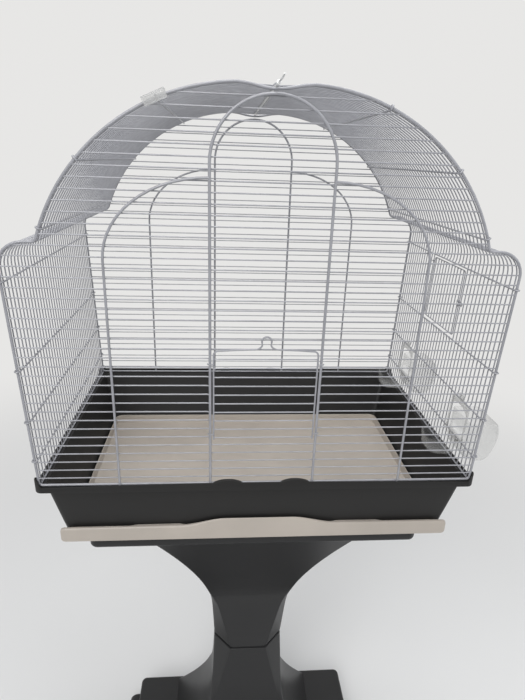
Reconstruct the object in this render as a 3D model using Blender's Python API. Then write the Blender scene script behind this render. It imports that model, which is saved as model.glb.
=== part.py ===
# Bird cage with stand: a domed wire cage on a plastic tub with a slide-out
# tray, carried by two equal stand mouldings on four casters.
# Metres, +Z up, X to the right, Y away from the front door, floor at Z = 0.

import bpy
import bmesh
from math import asin, atan, cos, pi, radians, sin, sqrt
from mathutils import Vector

# Clearances
GAP = 0.0003            # between neighbouring pieces
TRAY_CLEARANCE = 0.0008  # round the sliding tray

# Stand, from the floor up
CASTER_HEIGHT = 0.047   # floor to the underside of the base plate
PLATE_THICKNESS = 0.041
PLATE_HALF_WIDTH = 0.292
PLATE_HALF_DEPTH = 0.18
PLATE_ROUNDING = 0.008
PLATE_ROUNDING_MIDDLE = 0.0024
PLATE_CORNER = 0.014
STAND_WALL = 0.004
COLUMN_HALF_HEIGHT = 0.3995  # plate to seam
SEAM_HALF_WIDTH = 0.077
SEAM_HALF_DEPTH = 0.060
SEAM_CHAMFER_WIDTH = 0.038
SEAM_CHAMFER_DEPTH = 0.042
SEAM_GROOVE = 0.0012
CHAMFER_HEIGHT = 0.1325  # how far above the seam the corner chamfers run out
COLUMN_CORNER = 0.004
COLUMN_WIDTH_TAPER = 0.015   # widening of the straight column over its height
COLUMN_DEPTH_TAPER = 0.0055
FLARE_HALF_WIDTH = 0.185
FLARE_HALF_DEPTH = 0.170
WIDTH_FLARE_START = 0.13
DEPTH_FLARE_START = 0.155
WIDTH_FLARE_POWER = 1.6
DEPTH_FLARE_POWER = 1.15
COLUMN_STEPS = 7
LEDGE_WIDTH = 0.018     # screwed ledge inside the seam
LEDGE_THICKNESS = 0.005
JOINER_LENGTH = 0.050
JOINER_WALL = 0.003
SCREW_RADIUS = 0.0025
SCREW_HEAD_RADIUS = 0.0045
SCREW_HEAD_HEIGHT = 0.0035

# Casters
CASTER_INSET_X = 0.016  # swivel axis from the plate's side
CASTER_INSET_Y = 0.030
SOCKET_RADIUS = 0.009
SOCKET_WALL = 0.0037
SOCKET_DEPTH = 0.030
WHEEL_RADIUS = 0.0210
WHEEL_WIDTH = 0.0154
TREAD_BEVEL = 0.0015
AXLE_RADIUS = 0.0025
AXLE_HEAD = 0.0012
AXLE_HEAD_RADIUS = 0.004
HOOD_WALL = 0.0015
HOOD_CLEARANCE = 0.0010
CHEEK_WALL = 0.0020
CASTER_TRAIL = 0.026
HOOD_SKIRT_HEIGHT = 0.011
SWIVEL_BOSS_HEIGHT = 0.022

# Tub and tray
TUB_HEIGHT = 0.1214
TUB_INSET = 0.0037      # tub wall inside the wire, at the rim
TUB_DRAFT = 0.187       # inward slope of the tub wall
TUB_WALL = 0.003
TUB_FLOOR = 0.0024
TUB_CORNER = 0.011
RIM_DEPTH = 0.0085
RIM_SIDE_REACH = 0.0075  # rim beyond the wire at the sides
LIP_THICKNESS = 0.0018
LIP_CLEARANCE = 0.0004  # between the arches and the lip
LIP_EDGE = 0.0006
LIP_CROWN = 0.0060
LIP_SIDE = 0.0012
POST_HEIGHT = 0.0080
POST_RAMP = 0.004
TAB_CENTRE = 0.053
TAB_HALF_WIDTH = 0.022
TAB_HEIGHT = 0.0116
TAB_SET_BACK = 0.0002   # tab face behind the rim's face
TAB_NOSE_HALF = 0.008
TAB_NOSE_HEIGHT = 0.0044
SLOT_HEIGHT = 0.0252    # tray slot above the tub's underside
PAN_FLOOR = 0.0022
PAN_WALL = 0.0020
PAN_DEPTH = 0.0202
PAN_CORNER = 0.0165
FASCIA_HALF_WIDTH = 0.325
FASCIA_THICKNESS = 0.0020
FASCIA_END_HEIGHT = 0.0275
FASCIA_LAND_HEIGHT = 0.0292
FASCIA_PULL_HEIGHT = 0.0400
FASCIA_PULL_HALF = 0.080
FASCIA_LAND_HALF = 0.115
FASCIA_CROWN_HALF = 0.032
FASCIA_BACK_GAP = 0.0006

# Wire gauges
FRAME_WIRE = 0.004
ARCH_WIRE = 0.004
SIDE_ARCH_WIRE = 0.0036
ROW_WIRE = 0.002
SIDE_WIRE = 0.002
CROSS_WIRE = 0.0025
DOOR_WIRE = 0.0028
HANDLE_WIRE = 0.0024
ROD_WIRE = 0.003

# Cage body, heights above the wire base
CAGE_HALF_WIDTH = 0.342
CAGE_HALF_DEPTH = 0.223
WALL_HEIGHT = 0.3366
WALL_LEAN = 0.0389
SHOULDER_RADIUS = 0.035
SHOULDER_FLAT = 0.016
SHOULDER_STEPS = 2
DOME_RISE = 0.1956
DOME_SHIFT = 0.0344     # centre of each half dome from the ridge
DOME_STEPS = 5
RIDGE_DIP = 0.0066
DIP_TOP_HALF = 0.010
DIP_FLOOR_HALF = 0.004
ROW_PITCH = 0.0142
SIDE_PITCH = 0.012
SIDE_INSET = 0.001      # side wires inside the outer frame's centre line
ARCH_HALF_WIDTH = 0.0805
ARCH_TOP_GAP = 0.0055   # arch crown below the bottom of the ridge dip
SIDE_ARCH_X = 0.220
SIDE_ARCH_SPRING = 0.350
SIDE_ARCH_RISE = 0.108
ARCH_STEPS = 8
ROW_BEND = 0.004
CROSS_LOW_ROW = 3       # grid rows beside which the side sheets' cross wires lie
CROSS_FEEDER_ROW = 8
CROSS_DOOR_ROWS = (13.5, 22.5)
ROOF_CROSS_ROWS = (27.5, 33.5, 38.5)
WELD_WIDTH = 0.0012     # weld of a cross wire to the first and last side wire
RAIL_OVERHANG = 0.0015  # a sheet's rail beyond its last wire
ARCH_FOOT = 0.0008      # foot of the arches above the wire base

# Front door
DOOR_FIRST_ROW = 6
DOOR_LAST_ROW = 15
DOOR_SIDE_GAP = 0.0016
DOOR_TAIL = 0.003
DOOR_HEAD = 0.0125
DOOR_CORNER = 0.007
HANDLE_HEIGHT = 0.0235
HANDLE_HALF_WIDTH = 0.013
HANDLE_NECK = 0.007
HANDLE_NECK_LOW = 0.0066   # heights above the door's top wire
HANDLE_NECK_HIGH = 0.0129
HANDLE_SHOULDER = 0.0183
HANDLE_SHOULDER_HALF = 0.0091
HANDLE_CROWN_HALF = 0.0056

# Side door and latch
SIDE_DOOR_Y = 0.0
SIDE_DOOR_HALF_COUNT = 5  # wires either side of the middle one
SIDE_DOOR_LOWER_GAP = 0.0068
SIDE_DOOR_UPPER_GAP = 0.0012
EYE_BORE = 0.0018
EYE_RADIUS = 0.0030
EYE_HEIGHT = 0.003
EYE_OFFSET = 0.008
EYE_ARM = 0.0018
LATCH_HEIGHT = 0.256
LATCH_LENGTH = 0.024
LATCH_BREADTH = 0.008
LATCH_THICKNESS = 0.0016
LATCH_ROUNDING = 0.0036
LATCH_PIN = 0.0013
LATCH_PIN_HEAD = 0.0021
LATCH_PLATE_HALF = 0.006
LATCH_PLATE_THICKNESS = 0.0016
LATCH_PLATE_REACH = 0.0072  # from the frame wire's centre into the door
LATCH_PLATE_LAP = 0.0011    # and out over the frame wire

# Feeders, in the wall's own frame: out of the wall, along it and up it
FEEDER_WALL = 0.0015
FEEDER_HALF_COUNT = 2
NEAR_FEEDER_Y = -0.156
REAR_FEEDER_Y = 0.108
HOPPER_HALF_WIDTH = 0.035
HOPPER_REACH = 0.0668
HOPPER_TOP = 0.093
HOPPER_WAIST = 0.057
HOPPER_FOOT = 0.013         # where the back meets the round floor
HOPPER_FLOOR_SHARES = (0.33, 0.62)  # of the reach, and the floor's heights there
HOPPER_FLOOR_HEIGHTS = (0.003, 0.0005)
HOPPER_NOSE_SHARE = 0.82
HOPPER_NOSE_HEIGHT = 0.011
HOPPER_BROW_SHARE = 0.93
HOPPER_BROW_HEIGHT = 0.0837
HOPPER_LIP_SHARE = 0.90
THROAT_HALF_WIDTH = 0.031
THROAT_HEIGHT = 0.0276
CHUTE_DEPTH = 0.0098
CUP_LENGTH = 0.056
CUP_HALF_WIDTH = 0.029
CUP_CORNER = 0.020
CUP_BOTTOM = 0.017
CUP_TOP = 0.046
HOLDER_HALF_WIDTH = 0.028
HOLDER_WALL = 0.0018
HOLDER_RISE = 0.024
HOOD_REACH = 0.021
HOOD_RISE = 0.022

# Roof rod and clip
ROD_FRONT = 0.310
ROD_REAR_OVERHANG = 0.014
ROD_TIP_LENGTH = 0.016
ROD_TIP_RISE = 0.004
ROD_COLLAR_Y = 0.260
ROD_COLLAR_RADIUS = 0.0055
ROD_COLLAR_WIDTH = 0.0026
CLIP_CENTRE = 0.142
CLIP_HALF_LENGTH = 0.015
CLIP_WALL = 0.0015
CLIP_HEIGHT = 0.012

# Sizes that follow
SEAM_Z = CASTER_HEIGHT + PLATE_THICKNESS + COLUMN_HALF_HEIGHT
STAND_TOP = 2 * SEAM_Z - CASTER_HEIGHT
TUB_BOTTOM = STAND_TOP + GAP
WIRE_BASE = TUB_BOTTOM + TUB_HEIGHT + GAP
ARCH_Y = CAGE_HALF_DEPTH + ROW_WIRE / 2 + GAP + ARCH_WIRE / 2
HOOK_OFFSET = FRAME_WIRE / 2 + GAP + CROSS_WIRE / 2
LEAN_ANGLE = atan(WALL_LEAN)
LEAN_SLANT = sqrt(1 + WALL_LEAN ** 2)
SIDE_COUNT = int(2 * (CAGE_HALF_DEPTH - 0.5 * SIDE_PITCH) / SIDE_PITCH) + 1
CROSS_OUTER = HOOK_OFFSET - SIDE_INSET - CROSS_WIRE / 2
CROSS_INNER = CROSS_OUTER + CROSS_WIRE
ROW_LAP = ROW_WIRE / 2 + CROSS_WIRE / 2 + GAP
CROSS_LOW = CROSS_LOW_ROW * ROW_PITCH + ROW_LAP
CROSS_FEEDER = CROSS_FEEDER_ROW * ROW_PITCH - ROW_LAP
CROSS_DOOR_LOW, CROSS_DOOR_HIGH = (row * ROW_PITCH for row in CROSS_DOOR_ROWS)
CROSS_HEIGHTS = (CROSS_LOW, CROSS_FEEDER, CROSS_DOOR_LOW, CROSS_DOOR_HIGH)
ROOF_CROSS_HEIGHTS = tuple(row * ROW_PITCH for row in ROOF_CROSS_ROWS)
CASTER_X = PLATE_HALF_WIDTH - CASTER_INSET_X
CASTER_Y = PLATE_HALF_DEPTH - CASTER_INSET_Y
CHEEK_OUTER = WHEEL_WIDTH / 2 + GAP + CHEEK_WALL
HOOD_RADIUS = WHEEL_RADIUS + HOOD_CLEARANCE + HOOD_WALL
STEM_RADIUS = SOCKET_RADIUS - SOCKET_WALL - GAP

WIRE_COLOR = (0.66, 0.66, 0.70)
CHARCOAL = (0.045, 0.042, 0.040)
BEIGE = (0.60, 0.54, 0.47)
CLEAR = (0.80, 0.82, 0.84)
BLACK = (0.015, 0.015, 0.016)
STEEL = (0.55, 0.55, 0.56)
WHITE = (0.80, 0.80, 0.80)


# Scene and materials

for old in list(bpy.data.objects):
    bpy.data.objects.remove(old)

NODES = []


def add_empty(name, location=(0, 0, 0), parent=None, lean=0.0):
    empty = bpy.data.objects.new(name, None)
    empty.location = location
    empty.rotation_euler = (0, lean, 0)
    empty.parent = parent
    bpy.context.collection.objects.link(empty)
    return empty


STAND_ORIGIN = add_empty("stand_origin")


def paint(name, color, roughness, metallic=0.0, alpha=1.0):
    material = bpy.data.materials.new(name)
    material.use_nodes = True
    shader = material.node_tree.nodes["Principled BSDF"]
    shader.inputs["Base Color"].default_value = (*color, 1)
    shader.inputs["Roughness"].default_value = roughness
    shader.inputs["Metallic"].default_value = metallic
    shader.inputs["Alpha"].default_value = alpha
    material.diffuse_color = (*color, alpha)
    return material


def mesh_object(name, draw, pivot):
    bm = bmesh.new()
    draw(bm)
    bmesh.ops.recalc_face_normals(bm, faces=bm.faces)
    mesh = bpy.data.meshes.new(name)
    bm.to_mesh(mesh)
    bm.free()
    mesh.shade_smooth()
    mesh.set_sharp_from_angle(angle=radians(32))
    shape = bpy.data.objects.new(name, mesh)
    shape.parent = pivot or STAND_ORIGIN
    bpy.context.collection.objects.link(shape)
    return shape


def node(name, draw, material, pivot=None):
    shape = mesh_object(name, draw, pivot)
    shape.data.materials.append(material)
    NODES.append(shape)
    return shape


def combine(target, operation, name, draw):
    helper = mesh_object(target.name + "_" + name, draw, target.parent)
    helper.data.materials.append(target.data.materials[0])
    helper.hide_render = True
    helper.display_type = "WIRE"
    modifier = target.modifiers.new(name, "BOOLEAN")
    modifier.operation = operation
    modifier.object = helper


def join(target, name, draw):
    combine(target, "UNION", name, draw)


def carve(target, name, draw):
    combine(target, "DIFFERENCE", name, draw)


# Shapes drawn into a mesh

def skin(bm, rings, closed=False):
    loops = [[bm.verts.new(point) for point in ring] for ring in rings]
    count = len(loops[0])
    pairs = list(zip(loops, loops[1:]))
    if closed:
        pairs.append((loops[-1], loops[0]))
    else:
        bm.faces.new(list(reversed(loops[0])))
        bm.faces.new(loops[-1])
    for low, high in pairs:
        for i in range(count):
            j = (i + 1) % count
            bm.faces.new((low[i], low[j], high[j], high[i]))


def wire(bm, path, thickness, across, closed=False):
    # A square wire along a flat path; across is square to the path's plane
    across = Vector(across).normalized()
    points = [Vector(point) for point in path]
    edge = across * thickness / 2
    rings = []
    for i, point in enumerate(points):
        ahead = points[(i + 1) % len(points)] - point
        behind = point - points[i - 1]
        if not closed and i == 0:
            behind = ahead
        if not closed and i == len(points) - 1:
            ahead = behind
        side_in = across.cross(behind.normalized())
        side_out = across.cross(ahead.normalized())
        side = (side_in + side_out).normalized()
        side = side / side.dot(side_in) * thickness / 2
        rings.append((point - side - edge, point + side - edge,
                      point + side + edge, point - side + edge))
    skin(bm, rings, closed)


def box(bm, low, high):
    corners = ((low[0], low[1]), (high[0], low[1]), (high[0], high[1]), (low[0], high[1]))
    skin(bm, [[(x, y, z) for x, y in corners] for z in (low[2], high[2])])


def prism(bm, outline, start, end):
    # An outline of (x, z) points drawn out along Y
    skin(bm, [[(x, y, z) for x, z in outline] for y in (start, end)])


def turned(bm, profile, sides, centre=(0, 0, 0), axis="Z", bored=False):
    # A profile of (radius to the flats, distance along the axis)
    flats = 1 / cos(pi / sides)
    rings = []
    for radius, along in profile:
        ring = []
        for i in range(sides):
            angle = 2 * pi * (i + 0.5) / sides
            a, b = radius * flats * cos(angle), radius * flats * sin(angle)
            offset = Vector((a, b, along)) if axis == "Z" else Vector((a, along, b))
            if axis == "X":
                offset = Vector((along, a, b))
            ring.append(Vector(centre) + offset)
        rings.append(ring)
    skin(bm, rings, closed=bored)


def shaft(radius, sides):
    # Radius to the flats of a shaft whose corners lie on the radius
    return radius * cos(pi / sides)


def rounded(half_x, half_y, radius, steps=3, centre=(0, 0)):
    points = []
    for corner, (sx, sy) in enumerate(((1, 1), (-1, 1), (-1, -1), (1, -1))):
        for step in range(steps + 1):
            angle = pi / 2 * (corner + step / steps)
            points.append((centre[0] + sx * (half_x - radius) + radius * cos(angle),
                           centre[1] + sy * (half_y - radius) + radius * sin(angle)))
    return points


# The cage's outline, seen from the front

def shoulder_centre():
    wall_top = Vector((CAGE_HALF_WIDTH + WALL_LEAN * WALL_HEIGHT, WALL_HEIGHT))
    outward = Vector((1, -WALL_LEAN)) / LEAN_SLANT
    return wall_top - SHOULDER_RADIUS * outward


def dome():
    centre = shoulder_centre()
    shoulder_z = centre.y + SHOULDER_RADIUS
    half_span = centre.x - SHOULDER_FLAT - DOME_SHIFT
    radius = (half_span ** 2 + DOME_RISE ** 2) / (2 * DOME_RISE)
    return shoulder_z, radius, shoulder_z + DOME_RISE - radius


DOME_TOP = sum(dome()[1:])
DIP_Z = DOME_TOP - RIDGE_DIP
ROD_Z = DIP_Z + FRAME_WIRE / 2 + GAP + ROD_WIRE / 2
RIDGE_RAIL_X = ROD_WIRE / 2 + GAP + CROSS_WIRE / 2


def half_outline(inset, base):
    # From the wire base up the wall, over the shoulder and along the dome
    points = [Vector((CAGE_HALF_WIDTH + WALL_LEAN * base - inset * LEAN_SLANT, base))]
    centre = shoulder_centre()
    for step in range(SHOULDER_STEPS + 1):
        angle = -LEAN_ANGLE + (pi / 2 + LEAN_ANGLE) * step / SHOULDER_STEPS
        points.append(centre + (SHOULDER_RADIUS - inset) * Vector((cos(angle), sin(angle))))
    shoulder_z, radius, dome_z = dome()
    first = asin((shoulder_z - inset - dome_z) / (radius - inset))
    for step in range(DOME_STEPS + 1):
        angle = first + (pi / 2 - first) * step / DOME_STEPS
        around = Vector((cos(angle), sin(angle)))
        points.append(Vector((DOME_SHIFT, dome_z)) + (radius - inset) * around)
    return points


FRAME_HALF = half_outline(0, FRAME_WIRE / 2)
SHEET_HALF = half_outline(SIDE_INSET, CROSS_WIRE / 2)


def on_outline(points, height):
    # The point at a height and the outward normal there
    for low, high in zip(points, points[1:]):
        if low.y <= height <= high.y and high.y > low.y:
            along = (high - low).normalized()
            point = low.lerp(high, (height - low.y) / (high.y - low.y))
            return point, Vector((along.y, -along.x))
    return points[-1], Vector((0, 1))


def side_wire_y(number):
    return (number - (SIDE_COUNT - 1) / 2) * SIDE_PITCH


def nearest_side_wire(y):
    return round(y / SIDE_PITCH + (SIDE_COUNT - 1) / 2)


DOOR_WIRE_NUMBER = nearest_side_wire(SIDE_DOOR_Y)
HINGE_WIRE_NUMBER = DOOR_WIRE_NUMBER + SIDE_DOOR_HALF_COUNT + 1
NEAR_FEEDER_WIRE = nearest_side_wire(NEAR_FEEDER_Y)
REAR_FEEDER_WIRE = nearest_side_wire(REAR_FEEDER_Y)
SHEET_BASE_X = CAGE_HALF_WIDTH - SIDE_INSET * LEAN_SLANT


# Front and back panels

def grid_panel(name, facing, door_rows, material):
    plane = facing * CAGE_HALF_DEPTH
    arch_plane = facing * ARCH_Y

    def frame(bm):
        right = FRAME_HALF + [Vector((DIP_TOP_HALF, DOME_TOP)), Vector((DIP_FLOOR_HALF, DIP_Z))]
        loop = [(p.x, plane, WIRE_BASE + p.y) for p in right]
        loop += [(-p.x, plane, WIRE_BASE + p.y) for p in reversed(right)]
        wire(bm, loop, FRAME_WIRE, (0, 1, 0), closed=True)

    def rows(bm):
        number = 1
        while number * ROW_PITCH < DIP_Z - FRAME_WIRE:
            z = number * ROW_PITCH
            reach = on_outline(FRAME_HALF, z)[0].x
            height = WIRE_BASE + z
            if number in door_rows:
                weld = arch_plane - facing * ARCH_WIRE / 4
                for side in (-1, 1):
                    path = ((side * reach, plane, height),
                            (side * (ARCH_HALF_WIDTH + ROW_BEND), plane, height),
                            (side * ARCH_HALF_WIDTH, weld, height))
                    wire(bm, path, ROW_WIRE, (0, 0, 1))
            else:
                path = ((-reach, plane, height), (reach, plane, height))
                wire(bm, path, ROW_WIRE, (0, 0, 1))
            number += 1

    foot = WIRE_BASE + ARCH_FOOT
    crown = WIRE_BASE + DIP_Z - ARCH_TOP_GAP - ARCH_HALF_WIDTH

    def centre_arch(bm):
        path = [(ARCH_HALF_WIDTH, arch_plane, foot)]
        for step in range(ARCH_STEPS + 1):
            angle = pi * step / ARCH_STEPS
            path.append((ARCH_HALF_WIDTH * cos(angle), arch_plane,
                         crown + ARCH_HALF_WIDTH * sin(angle)))
        path.append((-ARCH_HALF_WIDTH, arch_plane, foot))
        wire(bm, path, ARCH_WIRE, (0, 1, 0))

    def side_arches(bm):
        span = SIDE_ARCH_X - ARCH_HALF_WIDTH
        for side in (-1, 1):
            path = [(side * SIDE_ARCH_X, arch_plane, foot)]
            for step in range(ARCH_STEPS // 2 + 2):
                angle = pi / 2 * step / (ARCH_STEPS // 2 + 1)
                path.append((side * (ARCH_HALF_WIDTH + span * cos(angle)), arch_plane,
                             WIRE_BASE + SIDE_ARCH_SPRING + SIDE_ARCH_RISE * sin(angle)))
            wire(bm, path, SIDE_ARCH_WIRE, (0, 1, 0))

    panel = node(name, frame, material)
    join(panel, "rows", rows)
    join(panel, "centre_arch", centre_arch)
    join(panel, "side_arches", side_arches)


# Side sheets: wall and half roof

def side_sheet(name, side, openings, material):
    last_y = side_wire_y(SIDE_COUNT - 1)
    rail_end = last_y + RAIL_OVERHANG
    ridge = Vector((RIDGE_RAIL_X, ROD_Z))
    full = SHEET_HALF + [ridge]

    def place(point, y):
        return (side * point.x, y, WIRE_BASE + point.y)

    def cross_centre(height):
        point, outward = on_outline(FRAME_HALF, height)
        return point - HOOK_OFFSET * outward

    def rails(bm):
        for point in (SHEET_HALF[0], ridge):
            wire(bm, (place(point, -rail_end), place(point, rail_end)), CROSS_WIRE, (0, 0, 1))

    def wires(bm):
        for number in range(SIDE_COUNT):
            y = side_wire_y(number)
            pieces = [full]
            for middle, half_count, low, high in openings:
                if abs(number - middle) > half_count:
                    continue
                below = [SHEET_HALF[0], on_outline(SHEET_HALF, low - ROW_BEND)[0]]
                below.append(cross_centre(low))
                above = [cross_centre(high), on_outline(SHEET_HALF, high + ROW_BEND)[0]]
                above += [point for point in full if point.y > high + 2 * ROW_BEND]
                pieces = [below, above]
            for piece in pieces:
                wire(bm, [place(point, y) for point in piece], SIDE_WIRE, (0, 1, 0))

    def cross_wires(bm):
        hook_y = CAGE_HALF_DEPTH + HOOK_OFFSET
        for height in CROSS_HEIGHTS + ROOF_CROSS_HEIGHTS:
            point, outward = on_outline(FRAME_HALF, height)
            inner = point - HOOK_OFFSET * outward
            outer = point + HOOK_OFFSET * outward
            path = (place(outer, -CAGE_HALF_DEPTH), place(outer, -hook_y),
                    place(inner, -hook_y), place(inner, hook_y),
                    place(outer, hook_y), place(outer, CAGE_HALF_DEPTH))
            along = (side * -outward.y, 0, outward.x)
            wire(bm, path, CROSS_WIRE, along)

    def welds(bm):
        for height in CROSS_HEIGHTS + ROOF_CROSS_HEIGHTS:
            point, outward = on_outline(FRAME_HALF, height)
            for y in (-last_y, last_y):
                inner = place(point - HOOK_OFFSET * outward, y)
                wire(bm, (inner, place(point - SIDE_INSET * outward, y)), WELD_WIDTH, (0, 1, 0))

    sheet = node(name, rails, material)
    join(sheet, "wires", wires)
    join(sheet, "cross_wires", cross_wires)
    join(sheet, "welds", welds)


# Front door, in front of its opening and guided by the arch uprights

def front_door(material):
    pivot = add_empty("front_door_slide", (0, -ARCH_Y, WIRE_BASE), STAND_ORIGIN)
    half = ARCH_HALF_WIDTH - ARCH_WIRE / 2 - DOOR_SIDE_GAP - DOOR_WIRE / 2
    bottom = DOOR_FIRST_ROW * ROW_PITCH - DOOR_TAIL
    top = DOOR_LAST_ROW * ROW_PITCH + DOOR_HEAD

    def frame(bm):
        path = [(half, 0, bottom)]
        for step in range(4):
            angle = pi / 2 * step / 3
            path.append((half - DOOR_CORNER * (1 - cos(angle)), 0,
                         top - DOOR_CORNER * (1 - sin(angle))))
        path += [(-x, y, z) for x, y, z in reversed(path)]
        wire(bm, path, DOOR_WIRE, (0, 1, 0))

    def rows(bm):
        for number in range(DOOR_FIRST_ROW, DOOR_LAST_ROW + 1):
            z = number * ROW_PITCH
            wire(bm, ((-half, 0, z), (half, 0, z)), ROW_WIRE, (0, 0, 1))

    def guides(bm):
        reach = ARCH_HALF_WIDTH + ARCH_WIRE / 2 + GAP + ROW_WIRE / 2
        front = -(ARCH_WIRE / 2 + GAP + ROW_WIRE / 2)
        for z in ((DOOR_FIRST_ROW + 0.5) * ROW_PITCH, (DOOR_LAST_ROW - 0.5) * ROW_PITCH):
            for side in (-1, 1):
                path = ((side * half, 0, z), (side * half, front, z),
                        (side * reach, front, z), (side * reach, -GAP, z))
                wire(bm, path, ROW_WIRE, (0, 0, 1))

    def handle(bm):
        half = ((HANDLE_HALF_WIDTH, 0), (HANDLE_NECK, HANDLE_NECK_LOW),
                (HANDLE_NECK, HANDLE_NECK_HIGH), (HANDLE_SHOULDER_HALF, HANDLE_SHOULDER),
                (HANDLE_CROWN_HALF, HANDLE_HEIGHT - HANDLE_WIRE / 2))
        path = [(x, 0, top + z) for x, z in half]
        path += [(-x, 0, top + z) for x, z in reversed(half)]
        wire(bm, path, HANDLE_WIRE, (0, 1, 0))

    door = node("front_door", frame, material, pivot)
    join(door, "rows", rows)
    join(door, "guides", guides)
    join(door, "handle", handle)


# Side door, hinged on a wire of the right sheet, and its latch

def side_door(material, latch_material):
    hinge_y = side_wire_y(HINGE_WIRE_NUMBER)
    place = (SHEET_BASE_X, hinge_y, WIRE_BASE)
    pivot = add_empty("side_door_hinge", place, STAND_ORIGIN, LEAN_ANGLE)
    rim = (CROSS_WIRE + DOOR_WIRE) / 2
    low = (CROSS_DOOR_LOW + rim + SIDE_DOOR_LOWER_GAP) * LEAN_SLANT
    high = (CROSS_DOOR_HIGH - rim - SIDE_DOOR_UPPER_GAP) * LEAN_SLANT
    rear = -SIDE_PITCH / 2
    front = -(2 * SIDE_DOOR_HALF_COUNT + 1.5) * SIDE_PITCH
    latch_y = front + SIDE_PITCH / 4
    latch_bore = LATCH_PIN + GAP

    def frame(bm):
        loop = ((0, front, low), (0, rear, low), (0, rear, high), (0, front, high))
        wire(bm, loop, DOOR_WIRE, (1, 0, 0), closed=True)

    def wires(bm):
        for number in range(1, 2 * SIDE_DOOR_HALF_COUNT + 2):
            y = -number * SIDE_PITCH
            wire(bm, ((0, y, low), (0, y, high)), SIDE_WIRE, (1, 0, 0))

    def latch_plate(bm):
        half = LATCH_PLATE_THICKNESS / 2
        box(bm, (-half, front - LATCH_PLATE_LAP, LATCH_HEIGHT - LATCH_PLATE_HALF),
            (half, front + LATCH_PLATE_REACH, LATCH_HEIGHT + LATCH_PLATE_HALF))

    def latch_hole(bm):
        profile = ((latch_bore, -DOOR_WIRE), (latch_bore, DOOR_WIRE))
        turned(bm, profile, 12, (0, latch_y, LATCH_HEIGHT), "X")

    def eyes(bm):
        for z in (low + EYE_OFFSET, high - EYE_OFFSET):
            profile = ((EYE_RADIUS, z - EYE_HEIGHT / 2), (EYE_RADIUS, z + EYE_HEIGHT / 2),
                       (EYE_BORE, z + EYE_HEIGHT / 2), (EYE_BORE, z - EYE_HEIGHT / 2))
            turned(bm, profile, 8, bored=True)

    def eye_arms(bm):
        for z in (low + EYE_OFFSET, high - EYE_OFFSET):
            middle = -(EYE_RADIUS + EYE_BORE) / 2
            wire(bm, ((0, rear, z), (0, middle, z)), EYE_ARM, (1, 0, 0))

    door = node("side_door", frame, material, pivot)
    join(door, "wires", wires)
    join(door, "latch_plate", latch_plate)
    carve(door, "latch_hole", latch_hole)
    join(door, "eyes", eyes)
    join(door, "eye_arms", eye_arms)

    latch_pivot = add_empty("side_door_latch_pivot", (0, latch_y, LATCH_HEIGHT), pivot)
    wire_clear = DOOR_WIRE / 2 + GAP

    def bar(bm):
        half_length, half_breadth = LATCH_LENGTH / 2, LATCH_BREADTH / 2
        outline = rounded(half_length, half_breadth, LATCH_ROUNDING)
        faces = (wire_clear, wire_clear + LATCH_THICKNESS)
        skin(bm, [[(x, y, z) for y, z in outline] for x in faces])

    def pin(bm):
        inner = -wire_clear
        radius = shaft(LATCH_PIN, 12)
        head = LATCH_PIN_HEAD
        profile = ((head, inner - LATCH_THICKNESS / 2), (head, inner), (radius, inner),
                   (radius, wire_clear + LATCH_THICKNESS / 2))
        turned(bm, profile, 12, axis="X")

    latch = node("side_door_latch", bar, latch_material, latch_pivot)
    join(latch, "pin", pin)


# Feeders: a clear hood clipped on the wall and a hopper with its cup

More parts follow.
